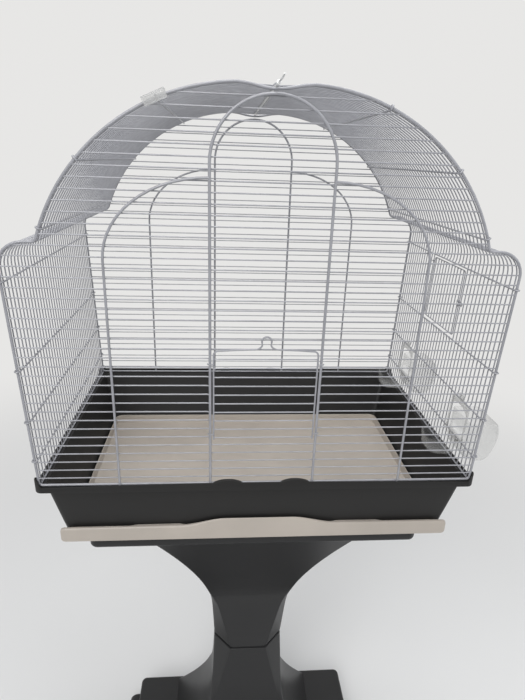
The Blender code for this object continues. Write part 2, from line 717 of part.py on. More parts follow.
def feeder(prefix, wire_number, material):
    y = side_wire_y(wire_number)
    location = (SHEET_BASE_X, y, WIRE_BASE)
    pivot = add_empty(prefix + "_feeder_seat", location, STAND_ORIGIN, LEAN_ANGLE)
    wall = FEEDER_WALL
    back = SIDE_WIRE / 2 + GAP
    cup_face = -(CROSS_INNER + GAP)
    sill = (CROSS_LOW + CROSS_WIRE / 2) * LEAN_SLANT + GAP
    throat_top = sill + THROAT_HEIGHT
    chute = cup_face - CHUTE_DEPTH
    cup_centre = (cup_face - CUP_LENGTH / 2, 0)

    def bucket_outline(inset, top):
        # Round-bellied bucket, its back leaning on the wall
        floor = [(share * HOPPER_REACH, height + inset)
                 for share, height in zip(HOPPER_FLOOR_SHARES, HOPPER_FLOOR_HEIGHTS)]
        face = [(share * HOPPER_REACH - inset, height)
                for share, height in ((HOPPER_NOSE_SHARE, HOPPER_NOSE_HEIGHT), (1, HOPPER_WAIST),
                                      (HOPPER_BROW_SHARE, HOPPER_BROW_HEIGHT), (HOPPER_LIP_SHARE, top))]
        return [(back + inset, HOPPER_FOOT + inset), *floor, *face, (back + inset, top)]

    def bucket(bm):
        prism(bm, bucket_outline(0, HOPPER_TOP), -HOPPER_HALF_WIDTH, HOPPER_HALF_WIDTH)

    def throat(bm):
        box(bm, (chute, -THROAT_HALF_WIDTH, sill),
            (back + 2 * wall, THROAT_HALF_WIDTH, throat_top))

    def drop(bm):
        half = THROAT_HALF_WIDTH - 3 * wall
        box(bm, (chute + wall / 2, -half, (CUP_BOTTOM + CUP_TOP) / 2),
            (cup_face, half, sill + 2 * wall))

    def cup_ring(inset, z):
        half_length, half_width = CUP_LENGTH / 2 - inset, CUP_HALF_WIDTH - inset
        outline = rounded(half_length, half_width, CUP_CORNER - inset, centre=cup_centre)
        return [(x, y, z) for x, y in outline]

    def cup(bm):
        taper = 2 * wall
        skin(bm, (cup_ring(taper, CUP_BOTTOM), cup_ring(0, CUP_TOP)))

    def bucket_hollow(bm):
        half = HOPPER_HALF_WIDTH - wall
        prism(bm, bucket_outline(wall, HOPPER_TOP + wall), -half, half)

    def throat_hollow(bm):
        half = THROAT_HALF_WIDTH - wall
        box(bm, (chute + wall, -half, sill + wall),
            (back + 3 * wall, half, throat_top - wall))

    def drop_hollow(bm):
        half = THROAT_HALF_WIDTH - 4 * wall
        box(bm, (chute + 1.5 * wall, -half, CUP_TOP - 3 * wall),
            (cup_face - wall, half, sill + 3 * wall))

    def cup_hollow(bm):
        taper = 2 * wall
        skin(bm, (cup_ring(taper + wall, CUP_BOTTOM + wall), cup_ring(wall, CUP_TOP + GAP)))

    hopper = node(prefix + "_feeder_hopper", bucket, material, pivot)
    for name, draw in (("throat", throat), ("drop", drop), ("cup", cup)):
        join(hopper, name, draw)
    for name, draw in (("bucket_hollow", bucket_hollow), ("throat_hollow", throat_hollow),
                       ("drop_hollow", drop_hollow), ("cup_hollow", cup_hollow)):
        carve(hopper, name, draw)

    holder_pivot = add_empty(prefix + "_feeder_clip", location, STAND_ORIGIN, LEAN_ANGLE)

    def holder(bm):
        # Clips over the upper cross wire from inside and carries the cup's hood
        rail = CROSS_FEEDER * LEAN_SLANT
        under = rail - CROSS_WIRE / 2 - GAP
        over = rail + CROSS_WIRE / 2 + GAP
        lip = -(SIDE_WIRE / 2 + GAP)
        upper_lip = cup_face + 3 * GAP
        face = cup_face
        spine = face - HOLDER_WALL
        top = under + HOLDER_RISE
        outline = ((lip, under - HOLDER_WALL), (lip, under), (face, under), (face, over),
                   (upper_lip, over), (upper_lip, over + HOLDER_WALL / 2),
                   (face, over + HOLDER_WALL), (face, top), (face - HOOD_REACH, top + HOOD_RISE),
                   (spine - HOOD_REACH, top + HOOD_RISE), (spine, top - HOLDER_WALL / 2),
                   (spine, under - HOLDER_WALL))
        prism(bm, outline, -HOLDER_HALF_WIDTH, HOLDER_HALF_WIDTH)

    node(prefix + "_feeder_holder", holder, material, holder_pivot)


# Roof rod through the ridge and the clear clip over a cross wire's hook

def roof_rod(material):
    pivot = add_empty("roof_rod_slide", (0, 0, WIRE_BASE + ROD_Z), STAND_ORIGIN)

    def rod(bm):
        rear = CAGE_HALF_DEPTH + ROD_REAR_OVERHANG
        path = ((0, -ROD_FRONT, ROD_TIP_RISE), (0, -ROD_FRONT + ROD_TIP_LENGTH, 0), (0, rear, 0))
        wire(bm, path, ROD_WIRE, (1, 0, 0))

    def collar(bm):
        half = ROD_COLLAR_WIDTH / 2
        profile = ((ROD_COLLAR_RADIUS, -half), (ROD_COLLAR_RADIUS, half))
        turned(bm, profile, 12, (0, -ROD_COLLAR_Y, 0), "Y")

    piece = node("roof_joining_rod", rod, material, pivot)
    join(piece, "collar", collar)


def roof_clip(material):
    height = ROOF_CROSS_HEIGHTS[-1]
    point, outward = on_outline(FRAME_HALF, height)
    along = Vector((-outward.y, outward.x))
    top = HOOK_OFFSET + CROSS_WIRE / 2 + GAP
    front = CAGE_HALF_DEPTH + HOOK_OFFSET + CROSS_WIRE / 2 + GAP
    back = CAGE_HALF_DEPTH - FRAME_WIRE / 2 - GAP
    centre = point + along * (point.x - CLIP_CENTRE) / along.x

    def clip(bm):
        crest = top + CLIP_WALL
        hem = crest - CLIP_HEIGHT
        section = ((front + CLIP_WALL, crest), (front + CLIP_WALL, hem), (front, hem), (front, top),
                   (back, top), (back, -SIDE_INSET), (back - CLIP_WALL, -SIDE_INSET),
                   (back - CLIP_WALL, crest))
        rings = []
        for shift in (-CLIP_HALF_LENGTH, CLIP_HALF_LENGTH):
            place = [centre + along * shift + outward * lift for y, lift in section]
            rings.append([(-spot.x, -y, WIRE_BASE + spot.y) for spot, (y, lift) in zip(place, section)])
        skin(bm, rings)

    node("roof_clip", clip, material)


# Base tub and tray

def tub_half(depth):
    # Outer half sizes of the tub wall at a depth below the wire base
    inset = TUB_INSET + TUB_DRAFT * depth
    return CAGE_HALF_WIDTH - inset, CAGE_HALF_DEPTH - inset


RIM_HALF_WIDTH = CAGE_HALF_WIDTH + RIM_SIDE_REACH
LIP_INNER_Y = ARCH_Y + ARCH_WIRE / 2 + LIP_CLEARANCE
RIM_HALF_DEPTH = LIP_INNER_Y + LIP_THICKNESS
TUB_FLOOR_TOP = TUB_BOTTOM + TUB_FLOOR
PAN_BOTTOM = TUB_FLOOR_TOP + GAP


def tub_ring(half_x, half_y, radius, height):
    # A rounded ring with extra points along its edges for the crowned lip
    end_x = half_x - radius - POST_RAMP
    end_y = half_y - radius - POST_RAMP
    corners = rounded(half_x, half_y, radius)
    ring = []
    for side in range(4):
        ring += [(x, y, "post") for x, y in corners[4 * side:4 * side + 4]]
        if side % 2 == 0:
            sign = 1 if side == 0 else -1
            ring += [(sign * end_x * (1 - step / 3), sign * half_y, "edge")
                     for step in range(7)]
        else:
            sign = -1 if side == 1 else 1
            ring += [(sign * half_x, -sign * end_y * step, "side") for step in (1, -1)]
    return [(x, y, height(x / end_x, kind)) for x, y, kind in ring]


def base_tub(material):
    seat = WIRE_BASE - GAP

    def lip(share, kind):
        if kind == "post":
            return WIRE_BASE + POST_HEIGHT
        if kind == "side":
            return WIRE_BASE + LIP_SIDE
        return WIRE_BASE + LIP_EDGE + (LIP_CROWN - LIP_EDGE) * (1 - share ** 2)

    def shell(bm):
        rim_bottom = WIRE_BASE - RIM_DEPTH
        rim = (RIM_HALF_WIDTH, RIM_HALF_DEPTH, TUB_CORNER)
        inner_rim = [size - LIP_THICKNESS for size in rim]
        low = tub_half(TUB_HEIGHT)
        under_rim = tub_half(RIM_DEPTH)
        inner_top = [size - TUB_WALL for size in tub_half(0)]
        inner_low = [size - TUB_WALL for size in tub_half(TUB_HEIGHT - TUB_FLOOR)]
        inner_corner = TUB_CORNER - TUB_WALL
        rings = (tub_ring(*low, inner_corner, lambda share, kind: TUB_BOTTOM),
                 tub_ring(*under_rim, TUB_CORNER, lambda share, kind: rim_bottom),
                 tub_ring(*rim, lambda share, kind: rim_bottom),
                 tub_ring(*rim, lip),
                 tub_ring(*inner_rim, lip),
                 tub_ring(*inner_rim, lambda share, kind: seat),
                 tub_ring(*inner_top, inner_corner, lambda share, kind: seat),
                 tub_ring(*inner_low, inner_corner, lambda share, kind: TUB_FLOOR_TOP))
        skin(bm, rings)

    def tabs(bm):
        # Half-round tabs that stand before the wire's base rail
        start = RIM_HALF_DEPTH - TAB_SET_BACK
        end = CAGE_HALF_DEPTH + FRAME_WIRE / 2 + GAP
        for centre in (-TAB_CENTRE, TAB_CENTRE):
            outline = [(centre + TAB_HALF_WIDTH, seat - RIM_DEPTH / 2)]
            for step in range(7):
                angle = pi * step / 6
                outline.append((centre + TAB_HALF_WIDTH * cos(angle),
                                WIRE_BASE + TAB_HEIGHT * sin(angle)))
            outline.append((centre - TAB_HALF_WIDTH, seat - RIM_DEPTH / 2))
            for facing in (-1, 1):
                prism(bm, outline, facing * start, facing * end)

    def noses(bm):
        # The tabs' noses lie over the rail and hold the wire down
        low = WIRE_BASE + FRAME_WIRE + GAP
        start = CAGE_HALF_DEPTH + FRAME_WIRE / 2 + 3 * GAP
        for centre in (-TAB_CENTRE, TAB_CENTRE):
            for facing in (-1, 1):
                ends = sorted((facing * start, facing * CAGE_HALF_DEPTH))
                box(bm, (centre - TAB_NOSE_HALF, ends[0], low),
                    (centre + TAB_NOSE_HALF, ends[1], low + TAB_NOSE_HEIGHT))

    def slot(bm):
        half = pan_half_width() + 2 * GAP
        inner_y = tub_half(TUB_HEIGHT - TUB_FLOOR)[1] - TUB_WALL
        box(bm, (-half, -RIM_HALF_DEPTH, TUB_FLOOR_TOP - GAP),
            (half, -inner_y + TUB_CORNER, TUB_BOTTOM + SLOT_HEIGHT))

    tub = node("base_tub", shell, material)
    join(tub, "tabs", tabs)
    join(tub, "noses", noses)
    carve(tub, "slot", slot)


def pan_half_width():
    return tub_half(TUB_HEIGHT - TUB_FLOOR)[0] - TUB_WALL - TRAY_CLEARANCE


def slide_out_tray(material):
    pivot = add_empty("tray_slide", (0, 0, PAN_BOTTOM), STAND_ORIGIN)
    half_width = pan_half_width()
    pull_top = TUB_HEIGHT - (FASCIA_PULL_HEIGHT + PAN_BOTTOM - TUB_BOTTOM)
    fascia_back = tub_half(pull_top)[1] + FASCIA_BACK_GAP
    rear = tub_half(TUB_HEIGHT - TUB_FLOOR)[1] - TUB_WALL - TRAY_CLEARANCE
    front = -fascia_back - FASCIA_THICKNESS / 2
    middle = (rear + front) / 2
    half_depth = (rear - front) / 2

    def ring(inset, z):
        outline = rounded(half_width - inset, half_depth - inset, PAN_CORNER - inset,
                          centre=(0, middle))
        return [(x, y, z) for x, y in outline]

    def pan(bm):
        skin(bm, (ring(0, 0), ring(0, PAN_DEPTH),
                  ring(PAN_WALL, PAN_DEPTH), ring(PAN_WALL, PAN_FLOOR)))

    def fascia(bm):
        # Low ends, a raised pull in the middle and an S-curve between them
        half = [(FASCIA_HALF_WIDTH - FASCIA_THICKNESS, 0), (FASCIA_HALF_WIDTH, FASCIA_THICKNESS),
                (FASCIA_HALF_WIDTH, FASCIA_END_HEIGHT - FASCIA_THICKNESS),
                (FASCIA_HALF_WIDTH - FASCIA_THICKNESS, FASCIA_END_HEIGHT)]
        rise = FASCIA_PULL_HEIGHT - FASCIA_THICKNESS - FASCIA_LAND_HEIGHT
        for step in range(6):
            share = step / 5
            blend = share ** 2 * (3 - 2 * share)
            x = FASCIA_LAND_HALF + (FASCIA_PULL_HALF - FASCIA_LAND_HALF) * share
            half.append((x, FASCIA_LAND_HEIGHT + rise * blend))
        half.append((FASCIA_CROWN_HALF, FASCIA_PULL_HEIGHT))
        outline = half + [(-x, z) for x, z in reversed(half)]
        prism(bm, outline, -fascia_back - FASCIA_THICKNESS, -fascia_back)

    tray = node("slide_out_tray", pan, material, pivot)
    join(tray, "fascia", fascia)


# Stand mouldings: plate, flare and half a column, open inside

def column_section(distance):
    # Half sizes and corner chamfers at a distance from the seam
    sizes = []
    for seam, flare, taper, start, power in (
            (SEAM_HALF_WIDTH, FLARE_HALF_WIDTH, COLUMN_WIDTH_TAPER,
             WIDTH_FLARE_START, WIDTH_FLARE_POWER),
            (SEAM_HALF_DEPTH, FLARE_HALF_DEPTH, COLUMN_DEPTH_TAPER,
             DEPTH_FLARE_START, DEPTH_FLARE_POWER)):
        straight = seam + taper * distance / COLUMN_HALF_HEIGHT
        share = max(0.0, (distance - start) / (COLUMN_HALF_HEIGHT - start))
        sizes.append(straight + (flare - seam - taper) * share ** power)
    fade = max(0.0, 1 - distance / CHAMFER_HEIGHT)
    chamfer = [COLUMN_CORNER + (size - COLUMN_CORNER) * fade
               for size in (SEAM_CHAMFER_WIDTH, SEAM_CHAMFER_DEPTH)]
    return sizes, chamfer


def cornered(half_x, half_y, cut_x, cut_y, bulge, z):
    # A rectangle with cut corners; bulge 0 keeps them straight and 1 rounds them
    ring = []
    for sx, sy in ((1, 1), (-1, 1), (-1, -1), (1, -1)):
        lift = bulge * (sqrt(0.5) - 0.5)
        middle = (sx * (half_x - cut_x * (0.5 - lift)), sy * (half_y - cut_y * (0.5 - lift)), z)
        first = (sx * half_x, sy * (half_y - cut_y), z)
        last = (sx * (half_x - cut_x), sy * half_y, z)
        ring += [first, middle, last] if sx * sy > 0 else [last, middle, first]
    return ring


def stand_half(name, up, material):
    def height(distance):
        return SEAM_Z + up * distance

    def ring(distance, inset=0.0):
        (half_x, half_y), (cut_x, cut_y) = column_section(distance)
        return cornered(half_x - inset, half_y - inset, cut_x, cut_y, 0, height(distance))

    def plate_ring(distance, inset, corner):
        half_x, half_y = PLATE_HALF_WIDTH - inset, PLATE_HALF_DEPTH - inset
        return cornered(half_x, half_y, corner, corner, 1, height(distance))

    def shell(bm):
        plate = COLUMN_HALF_HEIGHT
        start = GAP / 2
        ledge = start + LEDGE_THICKNESS
        steps = [ledge + (plate - ledge) * step / COLUMN_STEPS for step in range(COLUMN_STEPS + 1)]
        opening = [size - STAND_WALL - LEDGE_WIDTH for size in (SEAM_HALF_WIDTH, SEAM_HALF_DEPTH)]
        cuts = (SEAM_CHAMFER_WIDTH / 2, SEAM_CHAMFER_DEPTH / 2)
        (seam_x, seam_y), seam_cuts = column_section(0)
        groove = (seam_x - SEAM_GROOVE, seam_y - SEAM_GROOVE)
        rings = [cornered(*groove, *seam_cuts, 0, height(start)), ring(start + SEAM_GROOVE)]
        rings += [ring(distance) for distance in steps]
        rings += [plate_ring(plate + level, inset, PLATE_CORNER - min(inset, PLATE_ROUNDING))
                  for level, inset in ((0, PLATE_ROUNDING),
                                       (PLATE_ROUNDING_MIDDLE, PLATE_ROUNDING_MIDDLE),
                                       (PLATE_ROUNDING, 0), (PLATE_THICKNESS, 0),
                                       (PLATE_THICKNESS, STAND_WALL),
                                       (PLATE_ROUNDING + STAND_WALL, STAND_WALL),
                                       (STAND_WALL, PLATE_ROUNDING + STAND_WALL))]
        inner = [ring(distance, STAND_WALL) for distance in steps]
        inner[-1] = [(x, y, height(plate + STAND_WALL)) for x, y, z in inner[-1]]
        rings += reversed(inner)
        rings += [cornered(*opening, *cuts, 0, height(level)) for level in (ledge, start)]
        skin(bm, rings, closed=True)

    def sockets(bm):
        low = height(COLUMN_HALF_HEIGHT + STAND_WALL / 2)
        high = height(COLUMN_HALF_HEIGHT + PLATE_THICKNESS - GAP)
        for x in (-CASTER_X, CASTER_X):
            for y in (-CASTER_Y, CASTER_Y):
                turned(bm, ((SOCKET_RADIUS, low), (SOCKET_RADIUS, high)), 12, (x, y, 0))

    def bores(bm):
        radius = SOCKET_RADIUS - SOCKET_WALL
        low = height(COLUMN_HALF_HEIGHT + PLATE_THICKNESS - SOCKET_DEPTH)
        high = height(COLUMN_HALF_HEIGHT + PLATE_THICKNESS + STAND_WALL)
        for x in (-CASTER_X, CASTER_X):
            for y in (-CASTER_Y, CASTER_Y):
                turned(bm, ((radius, low), (radius, high)), 12, (x, y, 0))

    def screw_holes(bm):
        radius = SCREW_RADIUS + GAP
        for x, y in screw_places():
            profile = ((radius, height(-LEDGE_THICKNESS)), (radius, height(2 * LEDGE_THICKNESS)))
            turned(bm, profile, 10, (x, y, 0))

    moulding = node(name, shell, material)
    join(moulding, "sockets", sockets)
    carve(moulding, "bores", bores)
    carve(moulding, "screw_holes", screw_holes)


def screw_places():
    x = SEAM_HALF_WIDTH - STAND_WALL - LEDGE_WIDTH / 2
    y = SEAM_HALF_DEPTH - STAND_WALL - LEDGE_WIDTH / 2
    return ((x, 0), (-x, 0), (0, y), (0, -y))


def column_joiner(material):
    half_x = SEAM_HALF_WIDTH - STAND_WALL - LEDGE_WIDTH - GAP
    half_y = SEAM_HALF_DEPTH - STAND_WALL - LEDGE_WIDTH - GAP
    cut_x, cut_y = SEAM_CHAMFER_WIDTH / 2, SEAM_CHAMFER_DEPTH / 2

    def sleeve(bm):
        rings = []
        for inset, z in ((0, -1), (0, 1), (JOINER_WALL, 1), (JOINER_WALL, -1)):
            level = SEAM_Z + z * JOINER_LENGTH / 2
            rings.append(cornered(half_x - inset, half_y - inset, cut_x, cut_y, 0, level))
        skin(bm, rings, closed=True)

    node("column_joiner", sleeve, material)


def joiner_screws(material):
    reach = GAP / 2 + LEDGE_THICKNESS + GAP
    shank = shaft(SCREW_RADIUS, 10)
    head = SCREW_HEAD_RADIUS
    profile = ((head, -reach - SCREW_HEAD_HEIGHT), (head, -reach), (shank, -reach),
               (shank, reach), (head, reach), (head, reach + SCREW_HEAD_HEIGHT))

    def screw(bm):
        turned(bm, profile, 10)

    for name, (x, y) in zip(("right", "left", "rear", "front"), screw_places()):
        pivot = add_empty(name + "_screw_place", (x, y, SEAM_Z), STAND_ORIGIN)
        node(name + "_joiner_screw", screw, material, pivot)


# Casters, each trailing towards the left

def caster(prefix, x, y, plastic, tread, steel):
    swivel = add_empty(prefix + "_caster_swivel", (x, y, 0), STAND_ORIGIN)
    axle_centre = (-CASTER_TRAIL, 0, WHEEL_RADIUS)
    boss_top = WHEEL_RADIUS + HOOD_RADIUS - GAP
    socket_end = CASTER_HEIGHT + SOCKET_DEPTH - GAP
    axle_bore = AXLE_RADIUS + GAP

    def hood(bm):
        profile = ((HOOD_RADIUS, -CHEEK_OUTER), (HOOD_RADIUS, CHEEK_OUTER))
        turned(bm, profile, 24, axle_centre, "Y")

    def stem(bm):
        radius = shaft(STEM_RADIUS, 12)
        profile = ((SOCKET_RADIUS, SWIVEL_BOSS_HEIGHT), (SOCKET_RADIUS, boss_top),
                   (radius, boss_top), (radius, socket_end))
        turned(bm, profile, 12)

    def wheel_space(bm):
        radius = WHEEL_RADIUS + HOOD_CLEARANCE
        half = WHEEL_WIDTH / 2 + GAP
        turned(bm, ((radius, -half), (radius, half)), 24, axle_centre, "Y")

    def skirt_cut(bm):
        reach = CASTER_TRAIL + HOOD_RADIUS
        box(bm, (-2 * reach, -reach, -reach), (2 * reach, reach, HOOD_SKIRT_HEIGHT))

    def axle_hole(bm):
        profile = ((axle_bore, -2 * CHEEK_OUTER), (axle_bore, 2 * CHEEK_OUTER))
        turned(bm, profile, 12, axle_centre, "Y")

    housing = node(prefix + "_caster_housing", hood, plastic, swivel)
    join(housing, "stem", stem)
    carve(housing, "wheel_space", wheel_space)
    carve(housing, "skirt_cut", skirt_cut)
    carve(housing, "axle_hole", axle_hole)

    roll = add_empty(prefix + "_caster_roll", axle_centre, swivel)

    def wheel(bm):
        half = WHEEL_WIDTH / 2
        edge = half - TREAD_BEVEL
        shoulder = WHEEL_RADIUS - TREAD_BEVEL
        profile = ((axle_bore, -half), (shoulder, -half), (WHEEL_RADIUS, -edge),
                   (WHEEL_RADIUS, edge), (shoulder, half), (axle_bore, half))
        turned(bm, profile, 24, axis="Y", bored=True)

    node(prefix + "_caster_wheel", wheel, tread, roll)

    def axle(bm):
        reach = CHEEK_OUTER + GAP
        head = AXLE_HEAD_RADIUS
        radius = shaft(AXLE_RADIUS, 12)
        profile = ((head, -reach - AXLE_HEAD), (head, -reach), (radius, -reach),
                   (radius, reach), (head, reach), (head, reach + AXLE_HEAD))
        turned(bm, profile, 12, axle_centre, "Y")

    node(prefix + "_caster_axle", axle, steel, swivel)


# Build

def settle_origin():
    # The origin goes to the floor under the middle of the whole object's box
    bpy.context.view_layer.update()
    graph = bpy.context.evaluated_depsgraph_get()
    xs = []
    ys = []
    for shape in NODES:
        evaluated = shape.evaluated_get(graph)
        for vertex in evaluated.data.vertices:
            place = evaluated.matrix_world @ vertex.co
            xs.append(place.x)
            ys.append(place.y)
    STAND_ORIGIN.location.x = -round((min(xs) + max(xs)) / 2, 4)
    STAND_ORIGIN.location.y = -round((min(ys) + max(ys)) / 2, 4)
    bpy.context.view_layer.update()


def build():
    enamel = paint("enamelled_wire", WIRE_COLOR, 0.35)
    charcoal = paint("charcoal_plastic", CHARCOAL, 0.45)
    glossy = paint("stand_plastic", CHARCOAL, 0.3)
    beige = paint("tray_plastic", BEIGE, 0.5)
    clear = paint("clear_plastic", CLEAR, 0.15, alpha=0.4)
    black = paint("caster_plastic", BLACK, 0.4)
    steel = paint("zinc_steel", STEEL, 0.35, metallic=1.0)
    white = paint("rod_enamel", WHITE, 0.35)

    grid_panel("front_panel", -1, range(DOOR_FIRST_ROW, DOOR_LAST_ROW + 1), enamel)
    grid_panel("back_panel", 1, (), enamel)
    side_sheet("left_side_panel", -1, (), enamel)
    openings = ((DOOR_WIRE_NUMBER, SIDE_DOOR_HALF_COUNT, CROSS_DOOR_LOW, CROSS_DOOR_HIGH),
                (NEAR_FEEDER_WIRE, FEEDER_HALF_COUNT, CROSS_LOW, CROSS_FEEDER),
                (REAR_FEEDER_WIRE, FEEDER_HALF_COUNT, CROSS_LOW, CROSS_FEEDER))
    side_sheet("right_side_panel", 1, openings, enamel)
    roof_rod(white)
    roof_clip(clear)
    front_door(enamel)
    side_door(enamel, white)
    feeder("near", NEAR_FEEDER_WIRE, clear)
    feeder("rear", REAR_FEEDER_WIRE, clear)
    base_tub(charcoal)
    slide_out_tray(beige)
    stand_half("upper_stand_half", 1, glossy)
    stand_half("lower_stand_half", -1, glossy)
    column_joiner(charcoal)
    joiner_screws(steel)
    for row, y in (("front", -CASTER_Y), ("rear", CASTER_Y)):
        for side, x in (("left", -CASTER_X), ("right", CASTER_X)):
            caster(row + "_" + side, x, y, black, black, steel)
    settle_origin()


build()
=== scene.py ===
from math import asin, atan, atan2, cos, pi, radians, sin, sqrt
import bmesh
import bpy
from mathutils import Matrix, Vector
from mathutils.kdtree import KDTree


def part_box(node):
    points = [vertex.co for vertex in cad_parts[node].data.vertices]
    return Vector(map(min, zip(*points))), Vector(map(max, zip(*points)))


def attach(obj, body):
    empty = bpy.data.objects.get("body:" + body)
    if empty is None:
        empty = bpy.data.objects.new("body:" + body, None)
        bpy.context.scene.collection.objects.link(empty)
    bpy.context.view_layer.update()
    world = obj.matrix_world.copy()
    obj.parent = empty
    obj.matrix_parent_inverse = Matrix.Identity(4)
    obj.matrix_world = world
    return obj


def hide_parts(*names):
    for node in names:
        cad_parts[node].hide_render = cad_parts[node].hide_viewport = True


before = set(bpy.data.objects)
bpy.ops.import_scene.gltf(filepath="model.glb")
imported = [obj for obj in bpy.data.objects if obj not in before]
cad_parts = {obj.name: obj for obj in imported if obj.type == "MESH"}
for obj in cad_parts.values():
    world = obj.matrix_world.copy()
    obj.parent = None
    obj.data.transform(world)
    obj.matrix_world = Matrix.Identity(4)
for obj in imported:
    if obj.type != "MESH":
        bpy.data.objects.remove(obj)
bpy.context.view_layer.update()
print("frame loaded")

frontLow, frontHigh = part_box("front_panel")
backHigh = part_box("back_panel")[1]
cageOrigin = Vector(((frontLow.x + frontHigh.x) / 2, (frontLow.y + backHigh.y) / 2, frontLow.z))
toCage = Matrix.Translation(cageOrigin)

# Sizes of the cage, heights from the wire base
cage = {
    "halfWidth": 0.342, "halfDepth": 0.223, "wallHeight": 0.3366, "lean": 0.0389,
    "shoulderRadius": 0.035, "shoulderFlat": 0.016, "domeRise": 0.1956, "domeShift": 0.0344,
    "ridgeDip": 0.0066, "dipHalf": 0.052, "rowPitch": 0.0142, "rowCount": 39, "sidePitch": 0.012,
    "sideInset": 0.001, "sideCount": 37, "frameBend": 0.005, "weldInset": 0.0018, "gap": 0.0003,
}
gauge = {    # thicknesses of the wires, and the size of a weld
    "frame": 0.004, "arch": 0.004, "sideArch": 0.0036, "row": 0.002, "side": 0.002,
    "cross": 0.0025, "door": 0.0028, "rod": 0.003, "hook": 0.0016, "weld": 0.0014,
}
snap = {"spot": 0.00002, "merge": 0.000002}    # how near places count as the same
quarters = ((1, 1), (-1, 1), (-1, -1), (1, -1))


# Working with meshes
def clearSelection():
    if bpy.context.object and bpy.context.object.mode != "OBJECT":
        bpy.ops.object.mode_set(mode="OBJECT")
    bpy.ops.object.select_all(action="DESELECT")


def pick(piece, others=()):
    clearSelection()
    for each in (piece, *others):
        each.select_set(True)
    bpy.context.view_layer.objects.active = piece
    return piece


def edit(piece):    # opens the piece with everything in it selected
    pick(piece)
    bpy.ops.object.mode_set(mode="EDIT")
    bpy.ops.mesh.select_mode(type="VERT")
    bpy.ops.mesh.select_all(action="SELECT")
    return piece


def begin(primitive, **values):    # a new primitive, opened
    clearSelection()
    primitive(**values)
    return edit(bpy.context.object)


def close(piece):
    bpy.ops.object.mode_set(mode="OBJECT")
    return piece


def closeSkin(piece, merged=False):    # with every face turned outward
    bpy.ops.mesh.select_all(action="SELECT")
    if merged:
        bpy.ops.mesh.remove_doubles(threshold=snap["merge"])
    bpy.ops.mesh.normals_make_consistent(inside=False)
    return close(piece)


def discard(*pieces):
    for piece in pieces:
        pick(piece)
        bpy.ops.object.delete()


def treeOf(places):
    tree = KDTree(len(places))
    for index, place in enumerate(places):
        tree.insert(place, index)
    tree.balance()
    return tree


def selectSpots(piece, spots):    # only the vertices lying on the given places
    mesh = bmesh.from_edit_mesh(piece.data)
    mesh.verts.ensure_lookup_table()
    tree = treeOf([vertex.co for vertex in mesh.verts])
    for vertex in mesh.verts:
        vertex.select = False
    mesh.select_flush(False)
    for spot in spots:
        for place, index, away in tree.find_range(spot, snap["spot"]):
            mesh.verts[index].select = True
    mesh.select_flush(True)
    bmesh.update_edit_mesh(piece.data)


def arc(x, y, wide, tall, first, last, steps):    # places along a part of an ellipse
    angles = [first + (last - first) * step / steps for step in range(steps + 1)]
    return [(x + wide * cos(angle), y + tall * sin(angle)) for angle in angles]


def cornerArc(turn, endX, endY, radius, steps, middle=(0, 0)):
    sx, sy = quarters[turn]
    return arc(middle[0] + sx * endX, middle[1] + sy * endY, radius, radius,
               turn * pi / 2, (turn + 1) * pi / 2, steps)


def roundedRing(halfX, halfY, radius, z, middle=(0, 0), steps=8):
    return [(x, y, z) for turn in range(4)
            for x, y in cornerArc(turn, halfX - radius, halfY - radius, radius, steps, middle)]


def pullPath(points):    # a chain of vertices, pulled out point by point
    piece = begin(bpy.ops.mesh.primitive_plane_add, size=1)
    bpy.ops.mesh.merge(type="CENTER")
    bpy.ops.transform.translate(value=points[0])
    for here, there in zip(points, points[1:]):
        bpy.ops.mesh.extrude_vertices_move(TRANSFORM_OT_translate={"value": there - here})
    return close(piece)


def closePath(piece, points):
    edit(piece)
    selectSpots(piece, (points[0], points[-1]))
    bpy.ops.mesh.edge_face_add()
    return close(piece)


def bendCorners(piece, points, bend, closed, segments):    # rounds the sharp turns of a path
    corners = []
    for index, point in enumerate(points):
        if closed or 0 < index < len(points) - 1:
            ahead = points[(index + 1) % len(points)] - point
            if ahead.angle(point - points[index - 1]) > radians(20):
                corners.append(point)
    edit(piece)
    selectSpots(piece, corners)
    bpy.ops.mesh.bevel(offset=bend, offset_type="OFFSET", segments=segments, affect="VERTICES")
    return close(piece)


def path(points, bend=0, closed=False, segments=4):
    points = [Vector(point) for point in points]
    piece = pullPath(points)
    if closed:
        closePath(piece, points)
    if bend:
        bendCorners(piece, points, bend, closed, segments)
    return piece


def joinPieces(pieces):
    pick(pieces[0], pieces[1:])
    if len(pieces) > 1:
        bpy.ops.object.join()
    return bpy.context.object


def plump(piece, thickness, sides=8):    # turns bare paths into round wire
    pick(piece)
    bpy.ops.object.convert(target="CURVE")
    curve = bpy.context.object
    curve.data.bevel_depth = thickness / 2
    curve.data.bevel_resolution = sides // 2 - 2
    curve.data.use_fill_caps = True
    bpy.ops.object.convert(target="MESH")
    return bpy.context.object


def wire(points, thickness, sides=8, bend=0, closed=False):
    return plump(path(points, bend, closed), thickness, sides)


def repeatAlong(piece, steps):    # a copy of everything in the piece at each step
    edit(piece)
    for step in steps:
        bpy.ops.mesh.duplicate_move(TRANSFORM_OT_translate={"value": step})
    return close(piece)


def beads(spots, size=gauge["weld"]):    # little blobs of weld
    piece = begin(bpy.ops.mesh.primitive_uv_sphere_add, segments=6, ring_count=4, radius=size)
    bpy.ops.transform.translate(value=spots[0])
    return repeatAlong(piece, [there - here for here, there in zip(spots, spots[1:])])


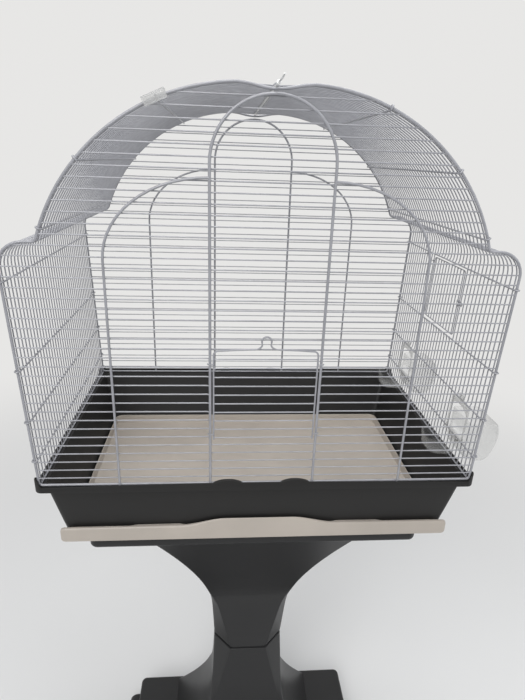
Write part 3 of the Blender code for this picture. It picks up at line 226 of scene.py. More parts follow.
def loft(rings, looped=False):    # a skin pulled from ring to ring
    rings = [[Vector(point) for point in ring] for ring in rings]
    piece = begin(bpy.ops.mesh.primitive_circle_add, vertices=len(rings[0]), radius=1)
    mesh = bmesh.from_edit_mesh(piece.data)
    for vertex, place in zip(mesh.verts, rings[0]):
        vertex.co = place
    bmesh.update_edit_mesh(piece.data)
    for before, after in zip(rings, rings[1:] + rings[:1] * looped):
        bpy.ops.mesh.extrude_region_move()
        tree = treeOf(before)
        mesh = bmesh.from_edit_mesh(piece.data)
        for vertex in mesh.verts:
            if vertex.select:
                vertex.co = after[tree.find(vertex.co)[1]]
        bmesh.update_edit_mesh(piece.data)
    if not looped:
        bpy.ops.mesh.edge_face_add()
        selectSpots(piece, rings[0])
        bpy.ops.mesh.edge_face_add()
    return closeSkin(piece, looped)


def lathe(profile, centre=(0, 0, 0), axis=(0, 0, 1), steps=32):    # (radius, along) points, spun
    axis = Vector(axis)
    side = Vector((1, 0, 0)) if axis.z else Vector((0, 0, 1))
    points = [Vector(centre) + side * radius + axis * along for radius, along in profile]
    piece = edit(pullPath(points))
    bpy.ops.mesh.spin(steps=steps, angle=2 * pi, center=centre, axis=axis)
    return closeSkin(piece, True)


def mirrored(side):    # the same (radius, along) points again on the other side of the middle
    return side + [(radius, -along) for radius, along in reversed(side)]


def cylinder(radius, half, centre, axis, steps=24):
    return lathe(mirrored([(0, -half), (radius, -half)]), centre, axis, steps)


def slab(outline, reach):    # an outline, filled and pulled out
    outline = [Vector(point) for point in outline]
    piece = edit(closePath(pullPath(outline), outline))
    bpy.ops.mesh.edge_face_add()
    bpy.ops.mesh.extrude_region_move(TRANSFORM_OT_translate={"value": reach})
    return closeSkin(piece)


def block(low, high):
    low, high = Vector(low), Vector(high)
    piece = begin(bpy.ops.mesh.primitive_cube_add, size=1)
    bpy.ops.transform.resize(value=high - low, center_override=(0, 0, 0))
    bpy.ops.transform.translate(value=(high + low) / 2)
    return close(piece)


def applied(piece, kind, **values):    # the piece after a modifier
    pick(piece)
    modifier = piece.modifiers.new(kind, kind)
    for key, value in values.items():
        setattr(modifier, key, value)
    bpy.ops.object.modifier_apply(modifier=modifier.name)
    return piece


def soften(piece, width, segments=3, angle=30):    # rounds the edges sharper than the angle
    return applied(piece, "BEVEL", width=width, segments=segments, limit_method="ANGLE",
                   angle_limit=radians(angle), use_clamp_overlap=True)


def combine(piece, other, operation):
    applied(piece, "BOOLEAN", operation=operation, solver="EXACT", object=other)
    discard(other)
    return piece


def unite(piece, other):
    return combine(piece, other, "UNION")


def cut(piece, other):
    return combine(piece, other, "DIFFERENCE")


def copyOf(piece):    # a copy with a mesh of its own
    pick(piece)
    bpy.ops.object.duplicate(linked=False)
    return bpy.context.object


def finishPiece(pieces, name, body, look, nodes, place=toCage, smooth=40):
    piece = joinPieces(pieces)
    piece.name = name
    piece.data.name = name
    piece.matrix_world = place
    bpy.ops.object.transform_apply(location=True, rotation=True, scale=True)
    bpy.ops.object.shade_smooth_by_angle(angle=radians(smooth))
    piece.data.materials.clear()
    piece.data.materials.append(look)
    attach(piece, body)
    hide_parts(*nodes)


# Materials
class Socket:    # an output of a shader node, with arithmetic
    def __init__(self, tree, output):
        self.tree = tree
        self.output = output

    def math(self, operation, first, second):
        return addNode(self.tree, "ShaderNodeMath", {"operation": operation}, {0: first, 1: second})

    def __add__(self, other):
        return self.math("ADD", self, other)

    def __radd__(self, other):
        return self.math("ADD", other, self)

    def __sub__(self, other):
        return self.math("SUBTRACT", self, other)

    def __mul__(self, other):
        return self.math("MULTIPLY", self, other)


def addNode(tree, kind, settings=None, inputs=None, output=0):
    node = tree.nodes.new(kind)
    for key, value in (settings or {}).items():
        setattr(node, key, value)
    for key, value in (inputs or {}).items():
        feed(tree, node.inputs[key], value)
    return Socket(tree, node.outputs[output])


def feed(tree, target, value):
    if isinstance(value, Socket):
        tree.links.new(value.output, target)
    else:
        target.default_value = value


def material(name, color, **values):
    made = bpy.data.materials.new(name)
    made.use_nodes = True
    made.diffuse_color = (*color, 1)
    shader = made.node_tree.nodes["Principled BSDF"]
    for key, value in values.items():
        shader.inputs[key].default_value = value
    return made, made.node_tree, shader


def feedAll(tree, shader, **values):    # socket names without their spaces
    for target in shader.inputs:
        key = target.name.replace(" ", "")
        if key in values:
            feed(tree, target, values[key])


def objectSpace(tree):
    return addNode(tree, "ShaderNodeTexCoord", output="Object")


def noise(tree, scale, detail=3, rough=0.5, stretch=None):
    space = objectSpace(tree)
    if stretch:
        space = addNode(tree, "ShaderNodeMapping", inputs={"Vector": space, "Scale": stretch})
    return addNode(tree, "ShaderNodeTexNoise",
                   inputs={"Vector": space, "Scale": scale, "Detail": detail, "Roughness": rough})


def axisOf(tree, vector, axis):
    return addNode(tree, "ShaderNodeSeparateXYZ", inputs={"Vector": vector}, output=axis)


def blend(tree, share, first, second):
    first, second = ((*part, 1) if isinstance(part, tuple) else part for part in (first, second))
    return addNode(tree, "ShaderNodeMix", {"data_type": "RGBA"}, {0: share, 6: first, 7: second}, 2)


def bump(tree, height, strength, distance):
    return addNode(tree, "ShaderNodeBump",
                   inputs={"Height": height, "Strength": strength, "Distance": distance})


def between(tree, value, low, high):    # 0 below low, 1 above high
    return addNode(tree, "ShaderNodeMapRange", {"interpolation_type": "SMOOTHSTEP"},
                   {"Value": value, "From Min": low, "From Max": high})


def tone(color, factor):
    return tuple(min(1.0, part * factor) for part in color)


def enamel(name, color, rough=0.34):    # dipped coat: thin and thick places, small pits
    made, tree, shader = material(name, color, IOR=1.5)
    cloud = noise(tree, 60, 4)
    pits = noise(tree, 420, 2)
    shade = between(tree, cloud, 0.35, 0.65)
    feedAll(tree, shader, BaseColor=blend(tree, shade, tone(color, 0.93), tone(color, 1.05)),
            Roughness=rough + (pits - 0.5) * 0.22, CoatWeight=0.22 + cloud * 0.16,
            Normal=bump(tree, pits, 0.25, 0.0003))
    return made


def moulded(name, color, rough, dust=0.05, grain=0.35, shine=0.5):    # fine grain, a little dust
    made, tree, shader = material(name, color, **{"IOR": 1.5, "Specular IOR Level": shine})
    broad = noise(tree, 5, 5, 0.6)
    fine = noise(tree, 1400, 2)
    streaks = noise(tree, 3, 3, 0.6, (1.0, 1.0, 0.08))
    facing = axisOf(tree, addNode(tree, "ShaderNodeNewGeometry", output="Normal"), "Z")
    lying = between(tree, facing, 0.5, 0.98) * between(tree, broad, 0.35, 0.7) * dust
    base = blend(tree, between(tree, broad, 0.3, 0.7), tone(color, 0.93), tone(color, 1.06))
    feedAll(tree, shader, BaseColor=blend(tree, lying, base, tone(color, 1.0 + 22 * dust)),
            Roughness=rough + (streaks - 0.5) * 0.14 + (broad - 0.5) * 0.10 + lying * 1.5,
            Normal=bump(tree, fine, grain, 0.00012))
    return made


def clearPlastic(name, color, alpha, wallX=None):    # cloudy, clearer inside the wall, and a painted highlight along grazing edges
    made, tree, shader = material(name, color, IOR=1.46)
    cloud = noise(tree, 55, 4, 0.6)
    flow = noise(tree, 18, 2, 0.5, (1.0, 1.0, 0.25))
    # Alpha rises at grazing angles: partly the longer path through the cloudy wall, partly a painted
    # edge highlight standing in for the reflection along the rims
    rim = addNode(tree, "ShaderNodeLayerWeight", inputs={"Blend": 0.35}, output="Facing")
    haze = 1
    if wallX is not None:
        across = axisOf(tree, objectSpace(tree), "X")
        haze = between(tree, across, wallX - 0.008, wallX + 0.008) * 1.3 + 0.2
    feedAll(tree, shader, BaseColor=blend(tree, cloud, tone(color, 0.96), tone(color, 1.04)),
            Alpha=(alpha + flow * 0.08 + cloud * 0.06) * haze + rim * rim * rim * 0.85,
            Roughness=0.10 + cloud * 0.14, Normal=bump(tree, flow, 0.12, 0.001))
    return made


def plating(name, color):    # zinc on steel
    made, tree, shader = material(name, color)
    spangle = noise(tree, 300, 3)
    feedAll(tree, shader, BaseColor=blend(tree, spangle, tone(color, 0.8), tone(color, 1.1)),
            Metallic=0.90 + spangle * 0.10, Roughness=0.26 + spangle * 0.22,
            Normal=bump(tree, spangle, 0.2, 0.0002))
    return made


finish = {
    "wire": (0.290, 0.292, 0.314), "rod": (0.84, 0.84, 0.83), "tub": (0.0165, 0.0160, 0.0156),
    "stand": (0.020, 0.020, 0.0205), "tray": (0.425, 0.380, 0.333), "clear": (0.64, 0.64, 0.625),
    "frame": (0.58, 0.58, 0.57), "latch": (0.68, 0.68, 0.67), "caster": (0.014, 0.014, 0.015),
    "tread": (0.020, 0.020, 0.021), "steel": (0.55, 0.55, 0.56),
    "milky": 0.015, "clouded": 0.30, "wallX": 0.315,
}
wireEnamel = enamel("wireEnamel", finish["wire"])
rodEnamel = enamel("rodEnamel", finish["rod"], 0.30)
tubPlastic = moulded("tubPlastic", finish["tub"], 0.48, 0.05, 0.35, 0.22)
standPlastic = moulded("standPlastic", finish["stand"], 0.36, 0.05, 0.2, 0.26)
trayPlastic = moulded("trayPlastic", finish["tray"], 0.38, 0.02, 0.25)
clearMilky = clearPlastic("clearMilky", finish["clear"], finish["milky"], finish["wallX"])
clearFrame = clearPlastic("clearFrame", finish["frame"], finish["clouded"])
latchPlastic = moulded("latchPlastic", finish["latch"], 0.36, 0.0, 0.2)
casterPlastic = moulded("casterPlastic", finish["caster"], 0.40, 0.04, 0.35, 0.3)
treadPlastic = moulded("treadPlastic", finish["tread"], 0.55, 0.04, 0.5, 0.3)
zincSteel = plating("zincSteel", finish["steel"])
print("materials made")

# The outline seen from the front
leanAngle = atan(cage["lean"])
leanSlant = sqrt(1 + cage["lean"] ** 2)
gap = cage["gap"]


def shoulderCentre():
    wallTop = Vector((cage["halfWidth"] + cage["lean"] * cage["wallHeight"], cage["wallHeight"]))
    return wallTop - cage["shoulderRadius"] * Vector((1, -cage["lean"])) / leanSlant


def domeArc():
    centre = shoulderCentre()
    shoulderZ = centre.y + cage["shoulderRadius"]
    halfSpan = centre.x - cage["shoulderFlat"] - cage["domeShift"]
    radius = (halfSpan ** 2 + cage["domeRise"] ** 2) / (2 * cage["domeRise"])
    return shoulderZ, radius, shoulderZ + cage["domeRise"] - radius


def halfOutline(inset, base):    # wall, shoulder and half of the dome
    centre, bend = shoulderCentre(), cage["shoulderRadius"] - inset
    shoulderZ, radius, domeZ = domeArc()
    first = asin((shoulderZ - inset - domeZ) / (radius - inset))
    places = [(cage["halfWidth"] + cage["lean"] * base - inset * leanSlant, base)]
    places += arc(centre.x, centre.y, bend, bend, -leanAngle, pi / 2, 8)
    places += arc(cage["domeShift"], domeZ, radius - inset, radius - inset, first, pi / 2, 26)
    return [Vector(place) for place in places]


def onOutline(points, height):    # the point at a height and the outward direction there
    for low, high in zip(points, points[1:]):
        if low.y <= height <= high.y and high.y > low.y:
            along = (high - low).normalized()
            share = (height - low.y) / (high.y - low.y)
            return low.lerp(high, share), Vector((along.y, -along.x))
    return points[-1], Vector((0, 1))


def sunk(points, depth):    # the two half domes dip softly towards the ridge
    def dip(x):
        return depth * (0.5 + 0.5 * cos(pi * min(1.0, abs(x) / cage["dipHalf"])))

    return [Vector((point.x, point.y - dip(point.x))) for point in points]


domeTop = sum(domeArc()[1:])
dipZ = domeTop - cage["ridgeDip"]
rodZ = dipZ + (gauge["frame"] + gauge["rod"]) / 2 + gap
ridgeX = (gauge["rod"] + gauge["cross"]) / 2 + gap
crown = [Vector((cage["domeShift"] * (1 - step / 10), domeTop)) for step in range(1, 11)]
frameHalf = sunk(halfOutline(0, gauge["frame"] / 2) + crown, cage["ridgeDip"])
sheetDip = domeTop - cage["sideInset"] - rodZ
sheetHalf = sunk(halfOutline(cage["sideInset"], gauge["cross"] / 2), sheetDip)
archY = cage["halfDepth"] + gauge["row"] / 2 + gap + gauge["arch"] / 2
hookOffset = gauge["frame"] / 2 + gap + gauge["cross"] / 2

# Arches, doors and feeders that the panels are made to fit
arches = {
    "halfWidth": 0.0805, "topGap": 0.0055, "sideX": 0.220, "sideSpring": 0.350,
    "sideRise": 0.108, "foot": 0.0008, "steps": 28,
}
archRise = dipZ - arches["topGap"] - arches["halfWidth"]
doorway = {"firstRow": 6, "lastRow": 15, "rowBend": 0.004, "rowRound": 0.0015}
doorRows = range(doorway["firstRow"], doorway["lastRow"] + 1)
crossRows = {"low": 3, "feeder": 8, "doorLow": 13.5, "doorHigh": 22.5, "roof": (27.5, 33.5, 38.5)}
rowLap = (gauge["row"] + gauge["cross"]) / 2 + gap
crossLow = crossRows["low"] * cage["rowPitch"] + rowLap
crossFeeder = crossRows["feeder"] * cage["rowPitch"] - rowLap
crossDoorLow = crossRows["doorLow"] * cage["rowPitch"]
crossDoorHigh = crossRows["doorHigh"] * cage["rowPitch"]
roofCrosses = [row * cage["rowPitch"] for row in crossRows["roof"]]
crossHeights = [crossLow, crossFeeder, crossDoorLow, crossDoorHigh] + roofCrosses


# Front and back panels
def archPaths(plane):    # the middle arch, then the two at its sides
    half, foot, steps = arches["halfWidth"], arches["foot"], arches["steps"]
    middle = [(half, foot), *arc(0, archRise, half, half, 0, pi, steps), (-half, foot)]
    outer = [(arches["sideX"], foot), *arc(half, arches["sideSpring"], arches["sideX"] - half,
                                           arches["sideRise"], 0, pi / 2, steps // 2)]
    return ([(x, plane, z) for x, z in middle],
            *([(side * x, plane, z) for x, z in outer] for side in (-1, 1)))


def archXs(height):    # where the arches stand at a height
    half = arches["halfWidth"]
    places = []
    if height < archRise:
        places.append(half)
    elif height < archRise + half:
        places.append(sqrt(half ** 2 - (height - archRise) ** 2))
    over = (height - arches["sideSpring"]) / arches["sideRise"]
    if over < 1:
        places.append(half + (arches["sideX"] - half) * sqrt(1 - max(0.0, over) ** 2))
    return places


def wirePanel(name, facing, cutRows):
    plane, archPlane = facing * cage["halfDepth"], facing * archY
    weldPlane = facing * (cage["halfDepth"] + gauge["row"] / 2)
    turn, weld = arches["halfWidth"] + doorway["rowBend"], archPlane - facing * gauge["arch"] / 4
    loop = [(p.x, plane, p.y) for p in frameHalf]
    loop += [(-p.x, plane, p.y) for p in reversed(frameHalf[:-1])]
    pieces = [wire(loop, gauge["frame"], 10, cage["frameBend"], True)]
    rows, spots = [], []
    for number in range(1, cage["rowCount"] + 1):
        z = number * cage["rowPitch"]
        reach = onOutline(frameHalf, z)[0].x
        if number in cutRows:
            rows += [path(((side * reach, plane, z), (side * turn, plane, z),
                           (side * arches["halfWidth"], weld, z)), doorway["rowRound"])
                     for side in (-1, 1)]
        else:
            rows.append(path(((-reach, plane, z), (reach, plane, z))))
        for side in (-1, 1):
            spots.append(Vector((side * (reach - cage["weldInset"]), plane, z)))
            spots += [Vector((side * x, weldPlane, z)) for x in archXs(z)]
    pieces.append(plump(joinPieces(rows), gauge["row"]))
    pieces += [wire(points, thickness, 10) for points, thickness in zip(
        archPaths(archPlane), (gauge["arch"], gauge["sideArch"], gauge["sideArch"]))]
    pieces.append(beads(spots))
    finishPiece(pieces, name + "Wires", "cage_and_stand", wireEnamel, [name])


wirePanel("front_panel", -1, doorRows)
print("front panel made")
wirePanel("back_panel", 1, ())
print("back panel made")


# Side sheets: wall and half roof
openings = {"doorWire": 18, "doorHalf": 5, "nearFeeder": 5, "rearFeeder": 27, "feederHalf": 2,
            "turnIn": 0.004, "hookFoot": 0.004, "hookTurn": 135, "railEnd": 0.0015, "weldDepth": 0.0004}


def sideWireY(number):
    return (number - (cage["sideCount"] - 1) / 2) * cage["sidePitch"]


def crossPlace(height, offset):
    point, outward = onOutline(frameHalf, height)
    return point + offset * outward


def crossPath(side, height):    # along the inside of the sheet and hooked round both frames
    hook = [(hookOffset, -openings["hookFoot"]), *arc(0, 0, hookOffset, hookOffset, 0, pi, 8)]
    ends = []
    for end in (-1, 1):
        places = [(crossPlace(height, offset), cage["halfDepth"] + beyond)
                  for offset, beyond in hook]
        ends.append([(side * place.x, end * y, place.y) for place, y in places])
    return ends[0] + ends[1][::-1]


def cutting(number, gaps):    # the openings that a side wire meets
    return [opening for opening in gaps if abs(number - opening[0]) <= opening[1]]


def sideWirePaths(number, gaps):    # the paths of one side wire, cut where an opening is
    full = sheetHalf + [Vector((ridgeX, rodZ))]
    turnIn = openings["turnIn"]
    for middle, half, low, high in cutting(number, gaps):
        below = [sheetHalf[0], onOutline(sheetHalf, low - turnIn)[0], crossPlace(low, -hookOffset)]
        above = [crossPlace(high, -hookOffset), onOutline(sheetHalf, high + turnIn)[0]]
        return [below, above + [point for point in full if point.y > high + 2 * turnIn]]
    return [full]


def sideSheet(name, side, gaps):
    numbers = range(cage["sideCount"])
    groups = {}
    for number in numbers:    # wires that are cut alike
        groups.setdefault(tuple(cutting(number, gaps)), []).append(number)
    uprights = []
    for group in groups.values():
        steps = [(0, (there - here) * cage["sidePitch"], 0) for here, there in zip(group, group[1:])]
        for line in sideWirePaths(group[0], gaps):
            start = path([(side * p.x, sideWireY(group[0]), p.y) for p in line],
                         openings["turnIn"], False, 5)
            uprights.append(repeatAlong(start, steps))
    pieces = [plump(joinPieces(uprights), gauge["side"])]
    end = sideWireY(numbers[-1]) + openings["railEnd"]
    rails = [path(((side * x, -end, z), (side * x, end, z)))
             for x, z in (sheetHalf[0], (ridgeX, rodZ))]
    crosses = [path(crossPath(side, height)) for height in crossHeights]
    pieces.append(plump(joinPieces(rails + crosses), gauge["cross"]))
    hooked = [number for number in numbers if number % 2 == (side + 1) // 2]
    hook = arc(0, rodZ, ridgeX, ridgeX, 0, radians(openings["hookTurn"]), 8)
    curl = path([(side * x, sideWireY(hooked[0]), z) for x, z in hook])
    repeatAlong(curl, [(0, 2 * cage["sidePitch"], 0)] * (len(hooked) - 1))
    pieces.append(plump(curl, gauge["hook"], 6))
    spots = []
    for height in crossHeights:
        place = crossPlace(height, (-hookOffset - cage["sideInset"]) / 2 - openings["weldDepth"])
        spots += [(place, number) for number in numbers
                  if not any(low < height < high for *wires, low, high in cutting(number, gaps))]
    spots += [(sheetHalf[0], number) for number in numbers]
    pieces.append(beads([Vector((side * p.x, sideWireY(number), p.y)) for p, number in spots]))
    finishPiece(pieces, name + "Wires", "cage_and_stand", wireEnamel, [name])


sideSheet("left_side_panel", -1, [])
print("left sheet made")
sideSheet("right_side_panel", 1, [
    (openings["doorWire"], openings["doorHalf"], crossDoorLow, crossDoorHigh),
    (openings["nearFeeder"], openings["feederHalf"], crossLow, crossFeeder),
    (openings["rearFeeder"], openings["feederHalf"], crossLow, crossFeeder)])
print("right sheet made")


# Roof rod
roofRod = {"front": 0.310, "rear": 0.014, "tip": 0.016, "tipRise": 0.0008, "thinner": 0.0005,
           "bend": 0.006, "collarY": 0.250, "collarRadius": 0.0029, "collarWidth": 0.0022,
           "collarBore": 0.0012, "collarRound": 0.0005, "sleeve": 0.0034, "sleeveEnd": 0.215}


def makeRoofRod():
    thin, end = gauge["rod"] - roofRod["thinner"], roofRod["sleeveEnd"]
    rear = cage["halfDepth"] + roofRod["rear"] - thin / 2
    start = thin / 2 - roofRod["front"]
    points = [(0, start, rodZ + roofRod["tipRise"]), (0, start + roofRod["tip"], rodZ), (0, rear, rodZ)]
    half, radius, edge = roofRod["collarWidth"] / 2, roofRod["collarRadius"], roofRod["collarRound"]
    collar = mirrored([(roofRod["collarBore"], -half), (radius - edge, -half), (radius, edge - half)])
    pieces = [wire(points, thin, 12, roofRod["bend"]),
              lathe(collar, (0, -roofRod["collarY"], rodZ), (0, 1, 0), 24),
              beads([Vector(points[0]), Vector(points[-1])], thin / 2),
              wire([(0, -end, rodZ), (0, end, rodZ)], roofRod["sleeve"], 16)]
    finishPiece(pieces, "roofRod", "roof_rod", rodEnamel, ["roof_joining_rod"])


makeRoofRod()
print("roof rod made")

# Clear clip on the left of the roof
roofClip = {"centre": 0.142, "halfLength": 0.015, "wall": 0.0015, "height": 0.012, "round": 0.0006}


def makeRoofClip():
    point, outward = onOutline(frameHalf, roofCrosses[-1])
    along = Vector((-outward.y, outward.x))
    wall, top, inner = roofClip["wall"], hookOffset + gauge["cross"] / 2 + gap, -cage["sideInset"]
    front = cage["halfDepth"] + top
    back = cage["halfDepth"] - gauge["frame"] / 2 - gap
    crest, hem = top + wall, top + wall - roofClip["height"]
    section = ((front + wall, crest), (front + wall, hem), (front, hem), (front, top), (back, top),
               (back, inner), (back - wall, inner), (back - wall, crest))
    centre = point + along * (point.x - roofClip["centre"]) / along.x
    start = centre - along * roofClip["halfLength"]
    places = [(start + outward * lift, y) for y, lift in section]
    length = 2 * roofClip["halfLength"] * along
    clip = slab([(-place.x, -y, place.y) for place, y in places], (-length.x, 0, length.y))
    finishPiece([soften(clip, roofClip["round"])], "roofClip", "cage_and_stand",
                clearFrame, ["roof_clip"])


makeRoofClip()
print("roof clip made")

# Front door: one bent wire with its omega pull, rows and guides
frontDoor = {"sideGap": 0.0016, "tail": 0.003, "head": 0.0125, "corner": 0.007, "bow": 0.0024,
             "bowShare": 0.6, "neck": 0.0060, "foot": 0.0168, "footRise": 0.0088, "loopRadius": 0.0070,
             "loopHeight": 0.0122, "thinner": 0.0002, "guideBend": 0.0026, "weldInset": 0.0012}


def makeFrontDoor():
    half = arches["halfWidth"] - gauge["arch"] / 2 - frontDoor["sideGap"] - gauge["door"] / 2
    lowest = doorRows[0] * cage["rowPitch"]
    bottom, top = lowest - frontDoor["tail"], doorRows[-1] * cage["rowPitch"] + frontDoor["head"]
    corner, neck, radius = frontDoor["corner"], frontDoor["neck"], frontDoor["loopRadius"]
    foot, rise, level = frontDoor["foot"], frontDoor["footRise"], top + frontDoor["bow"]
    first = -atan2(sqrt(radius ** 2 - neck ** 2), neck)
    right = [(half, bottom), *arc(half - corner, top - corner, corner, corner, 0, pi / 2, 6),
             ((half + foot) / 2, top + frontDoor["bow"] * frontDoor["bowShare"]),
             *arc(foot, level + rise, foot - neck, rise, -pi / 2, -pi, 6),    # the pull's wide foot
             *arc(0, level + frontDoor["loopHeight"], radius, radius, first, pi / 2, 10)]
    points = [Vector((x, -archY, z)) for x, z in right]
    points += [Vector((-p.x, p.y, p.z)) for p in reversed(points[:-1])]
    pieces = [wire(points, gauge["door"] - frontDoor["thinner"], 12)]
    row = path(((-half, -archY, lowest), (half, -archY, lowest)))
    repeatAlong(row, [(0, 0, cage["rowPitch"])] * (len(doorRows) - 1))
    pieces.append(plump(row, gauge["row"]))
    touch = (gauge["arch"] + gauge["row"]) / 2 + gap
    reach, front = arches["halfWidth"] + touch, -archY - touch
    guides, spots = [], []
    for number in (doorRows[0] + 0.5, doorRows[-1] - 0.5):
        z = number * cage["rowPitch"]
        for side in (-1, 1):
            guides.append(path(((side * half, -archY, z), (side * half, front, z),
                                (side * reach, front, z), (side * reach, -archY - gap, z)),
                               frontDoor["guideBend"]))
            spots.append(Vector((side * half, -archY, z)))
    pieces.append(plump(joinPieces(guides), gauge["row"]))
    spots += [Vector((side * (half - frontDoor["weldInset"]), -archY, number * cage["rowPitch"]))
              for number in doorRows for side in (-1, 1)]
    pieces.append(beads(spots))
    finishPiece(pieces, "frontDoorWires", "front_door", wireEnamel, ["front_door"])


makeFrontDoor()
print("front door made")

# Side door, its latch plate and its latch, in the leaning frame of its hinge wire
sideDoor = {"hingeWire": 24, "wires": 11, "lowerGap": 0.0034, "upperGap": 0.0030, "frame": 0.0018,
            "corner": 0.005, "curlRadius": 0.0024, "curlWire": 0.0012, "curlOffset": 0.008,
            "curlTurns": 2, "curlRise": 0.0011, "weldInset": 0.0015, "plateHalf": 0.006,
            "plateThickness": 0.0016, "plateReach": 0.0072, "plateLap": 0.0011, "plateRound": 0.0005}
latch = {"height": 0.256, "length": 0.024, "breadth": 0.008, "thickness": 0.0016, "rounding": 0.0036,
         "edge": 0.0004, "pin": 0.0013, "pinHead": 0.0021, "headRound": 0.0003, "boreHalf": 0.003}
sheetBaseX = cage["halfWidth"] - cage["sideInset"] * leanSlant
hingeY = sideWireY(sideDoor["hingeWire"])


def wallFrame(y):    # out of the wall, along it, up it
    return toCage @ Matrix.Translation((sheetBaseX, y, 0)) @ Matrix.Rotation(leanAngle, 4, "Y")


def curlPath(z):    # from the door's edge, then round the hinge wire
    radius, turns, rise = sideDoor["curlRadius"], sideDoor["curlTurns"], sideDoor["curlRise"]
    steps = 12 * turns
    points = [(0, -cage["sidePitch"] / 2, z - rise), (radius * 0.9, -radius, z - rise)]
    return points + [(x, y, z - rise + 2 * rise * step / steps) for step, (x, y) in enumerate(
        arc(0, 0, radius, radius, 0, 2 * pi * turns, steps))]


def makeSideDoor():
    rim, pitch = (gauge["cross"] + gauge["door"]) / 2, cage["sidePitch"]
    low = (crossDoorLow + rim + sideDoor["lowerGap"]) * leanSlant
    high = (crossDoorHigh - rim - sideDoor["upperGap"]) * leanSlant
    front, rear = -(sideDoor["wires"] + 0.5) * pitch, -pitch / 2
    corners = [(0, front, low), (0, rear, low), (0, rear, high), (0, front, high)]
    pieces = [wire(corners, sideDoor["frame"], 12, sideDoor["corner"], True)]
    upright = path(((0, -pitch, low), (0, -pitch, high)))
    repeatAlong(upright, [(0, -pitch, 0)] * (sideDoor["wires"] - 1))
    pieces.append(plump(upright, gauge["side"]))
    offset, inset = sideDoor["curlOffset"], sideDoor["weldInset"]
    pieces += [wire(curlPath(z), sideDoor["curlWire"]) for z in (low + offset, high - offset)]
    pieces.append(beads([Vector((0, -number * pitch, z)) for number in range(1, sideDoor["wires"] + 1)
                         for z in (low + inset, high - inset)]))
    half, tall = sideDoor["plateThickness"] / 2, sideDoor["plateHalf"]
    plate = block((-half, front - sideDoor["plateLap"], latch["height"] - tall),
                  (half, front + sideDoor["plateReach"], latch["height"] + tall))
    soften(plate, sideDoor["plateRound"])
    middle = (0, front + pitch / 4, latch["height"])
    pieces.append(cut(plate, cylinder(latch["pin"] + gap, latch["boreHalf"], middle, (1, 0, 0))))
    finishPiece(pieces, "sideDoorWires", "side_door",
                wireEnamel, ["side_door"], wallFrame(hingeY))


def makeLatch():
    y, z = -(sideDoor["wires"] + 0.25) * cage["sidePitch"], latch["height"]
    inner, thin = gauge["door"] / 2 + gap, latch["thickness"]
    ring = roundedRing(latch["length"] / 2, latch["breadth"] / 2, latch["rounding"], inner, (y, z))
    bar = slab([(out, along, up) for along, up, out in ring], (thin, 0, 0))
    soften(bar, latch["edge"], 3, 60)
    pin, head, end = latch["pin"], latch["pinHead"], inner + thin / 2
    shank = lathe([(0, -end), (head - latch["headRound"], -end), (head, -inner - thin / 4),
                   (head, -inner), (pin, -inner), (pin, end), (0, end)], (0, y, z), (1, 0, 0), 24)
    finishPiece([bar, shank], "sideDoorLatch", "side_door_latch",
                latchPlastic, ["side_door_latch"], wallFrame(hingeY))


makeSideDoor()
makeLatch()
print("side door and latch made")

# Feeders: a clear bucket outside, its cup inside under a clear arched holder
feeder = {"wall": 0.0015, "halfWidth": 0.035, "reach": 0.0562, "foot": 0.0220, "top": 0.086,
          "topShare": 0.90, "round": 0.0045, "throatHalf": 0.0265, "throatHeight": 0.0150,
          "throatRound": 0.0022, "chute": 0.0098, "chuteRound": 0.0012, "cupLength": 0.053,
          "cupHalf": 0.029, "cupCorner": 0.020, "cupBottom": 0.021, "cupTop": 0.046, "edge": 0.00035,
          "holderHalf": 0.0315, "holderWall": 0.0018, "holderFoot": 0.049, "holderTab": 0.0100,
          "holderEdge": 0.0005, "tabHalf": 0.009, "tabGap": 0.0006, "archCorner": 0.0125,
          "frameWidth": 0.0036, "cutFrom": -0.05, "cutTo": 0.01, "cutSpare": 0.004}
bucketKnots = (    # share of the reach, height, and how far the inner skin shifts out and up
    (0.16, 0.0180, 0.4, 1), (0.33, 0.0156, 0, 1), (0.48, 0.0144, 0, 1), (0.62, 0.0144, 0, 1),
    (0.73, 0.0176, -0.3, 0.8), (0.82, 0.0238, -1, 0), (0.905, 0.0338, -1, 0), (0.965, 0.0465, -1, 0),
    (1, 0.060, -1, 0), (0.985, 0.070, -1, 0), (0.935, 0.0800, -1, 0))
cupKnots = {    # insets, with heights over the cup's bottom or under its top
    "outerLow": ((0.0078, 0), (0.0050, 0.0006), (0.0034, 0.0026), (0.0024, 0.0070)),
    "outerHigh": ((0.0006, 0.0030), (0, 0.0022), (0, 0.0004), (0.0004, 0)),
    "innerLow": ((0.0084, 0), (0.0052, 0.0010), (0.0042, 0.0055)),
    "innerHigh": ((0, 0.0010), (-0.0003, -gap)),
}
crossInner = hookOffset - cage["sideInset"] + gauge["cross"] / 2
cupFace = -(crossInner + gap)
feederBack = gauge["side"] / 2 + gap


def bucketSlab(inset, top):    # the bucket's side, pulled across
    reach, back, half = feeder["reach"], feederBack, feeder["halfWidth"] - inset
    outline = [(back + inset, feeder["foot"] + inset)]
    outline += [(share * reach + out * inset, up + lift * inset)
                for share, up, out, lift in bucketKnots]
    outline += [(feeder["topShare"] * reach - inset, top), (back + inset, top)]
    bucket = slab([(x, -half, z) for x, z in outline], (0, 2 * half, 0))
    return soften(bucket, feeder["round"] - inset, 4, 50)


def cupSkin(skin, wall=0):
    half, low, high = feeder["cupLength"] / 2, feeder["cupBottom"] + wall, feeder["cupTop"]
    knots = [(inset, low + up) for inset, up in cupKnots[skin + "Low"]]
    knots += [(inset + wall, high - down) for inset, down in cupKnots[skin + "High"]]
    return loft([roundedRing(half - inset, feeder["cupHalf"] - inset, feeder["cupCorner"] - inset, z,
                             (cupFace - half, 0), 7) for inset, z in knots])


def duct(first, last, half, bottom, top):    # a box through the wall
    return block((first, -half, bottom), (last, half, top))


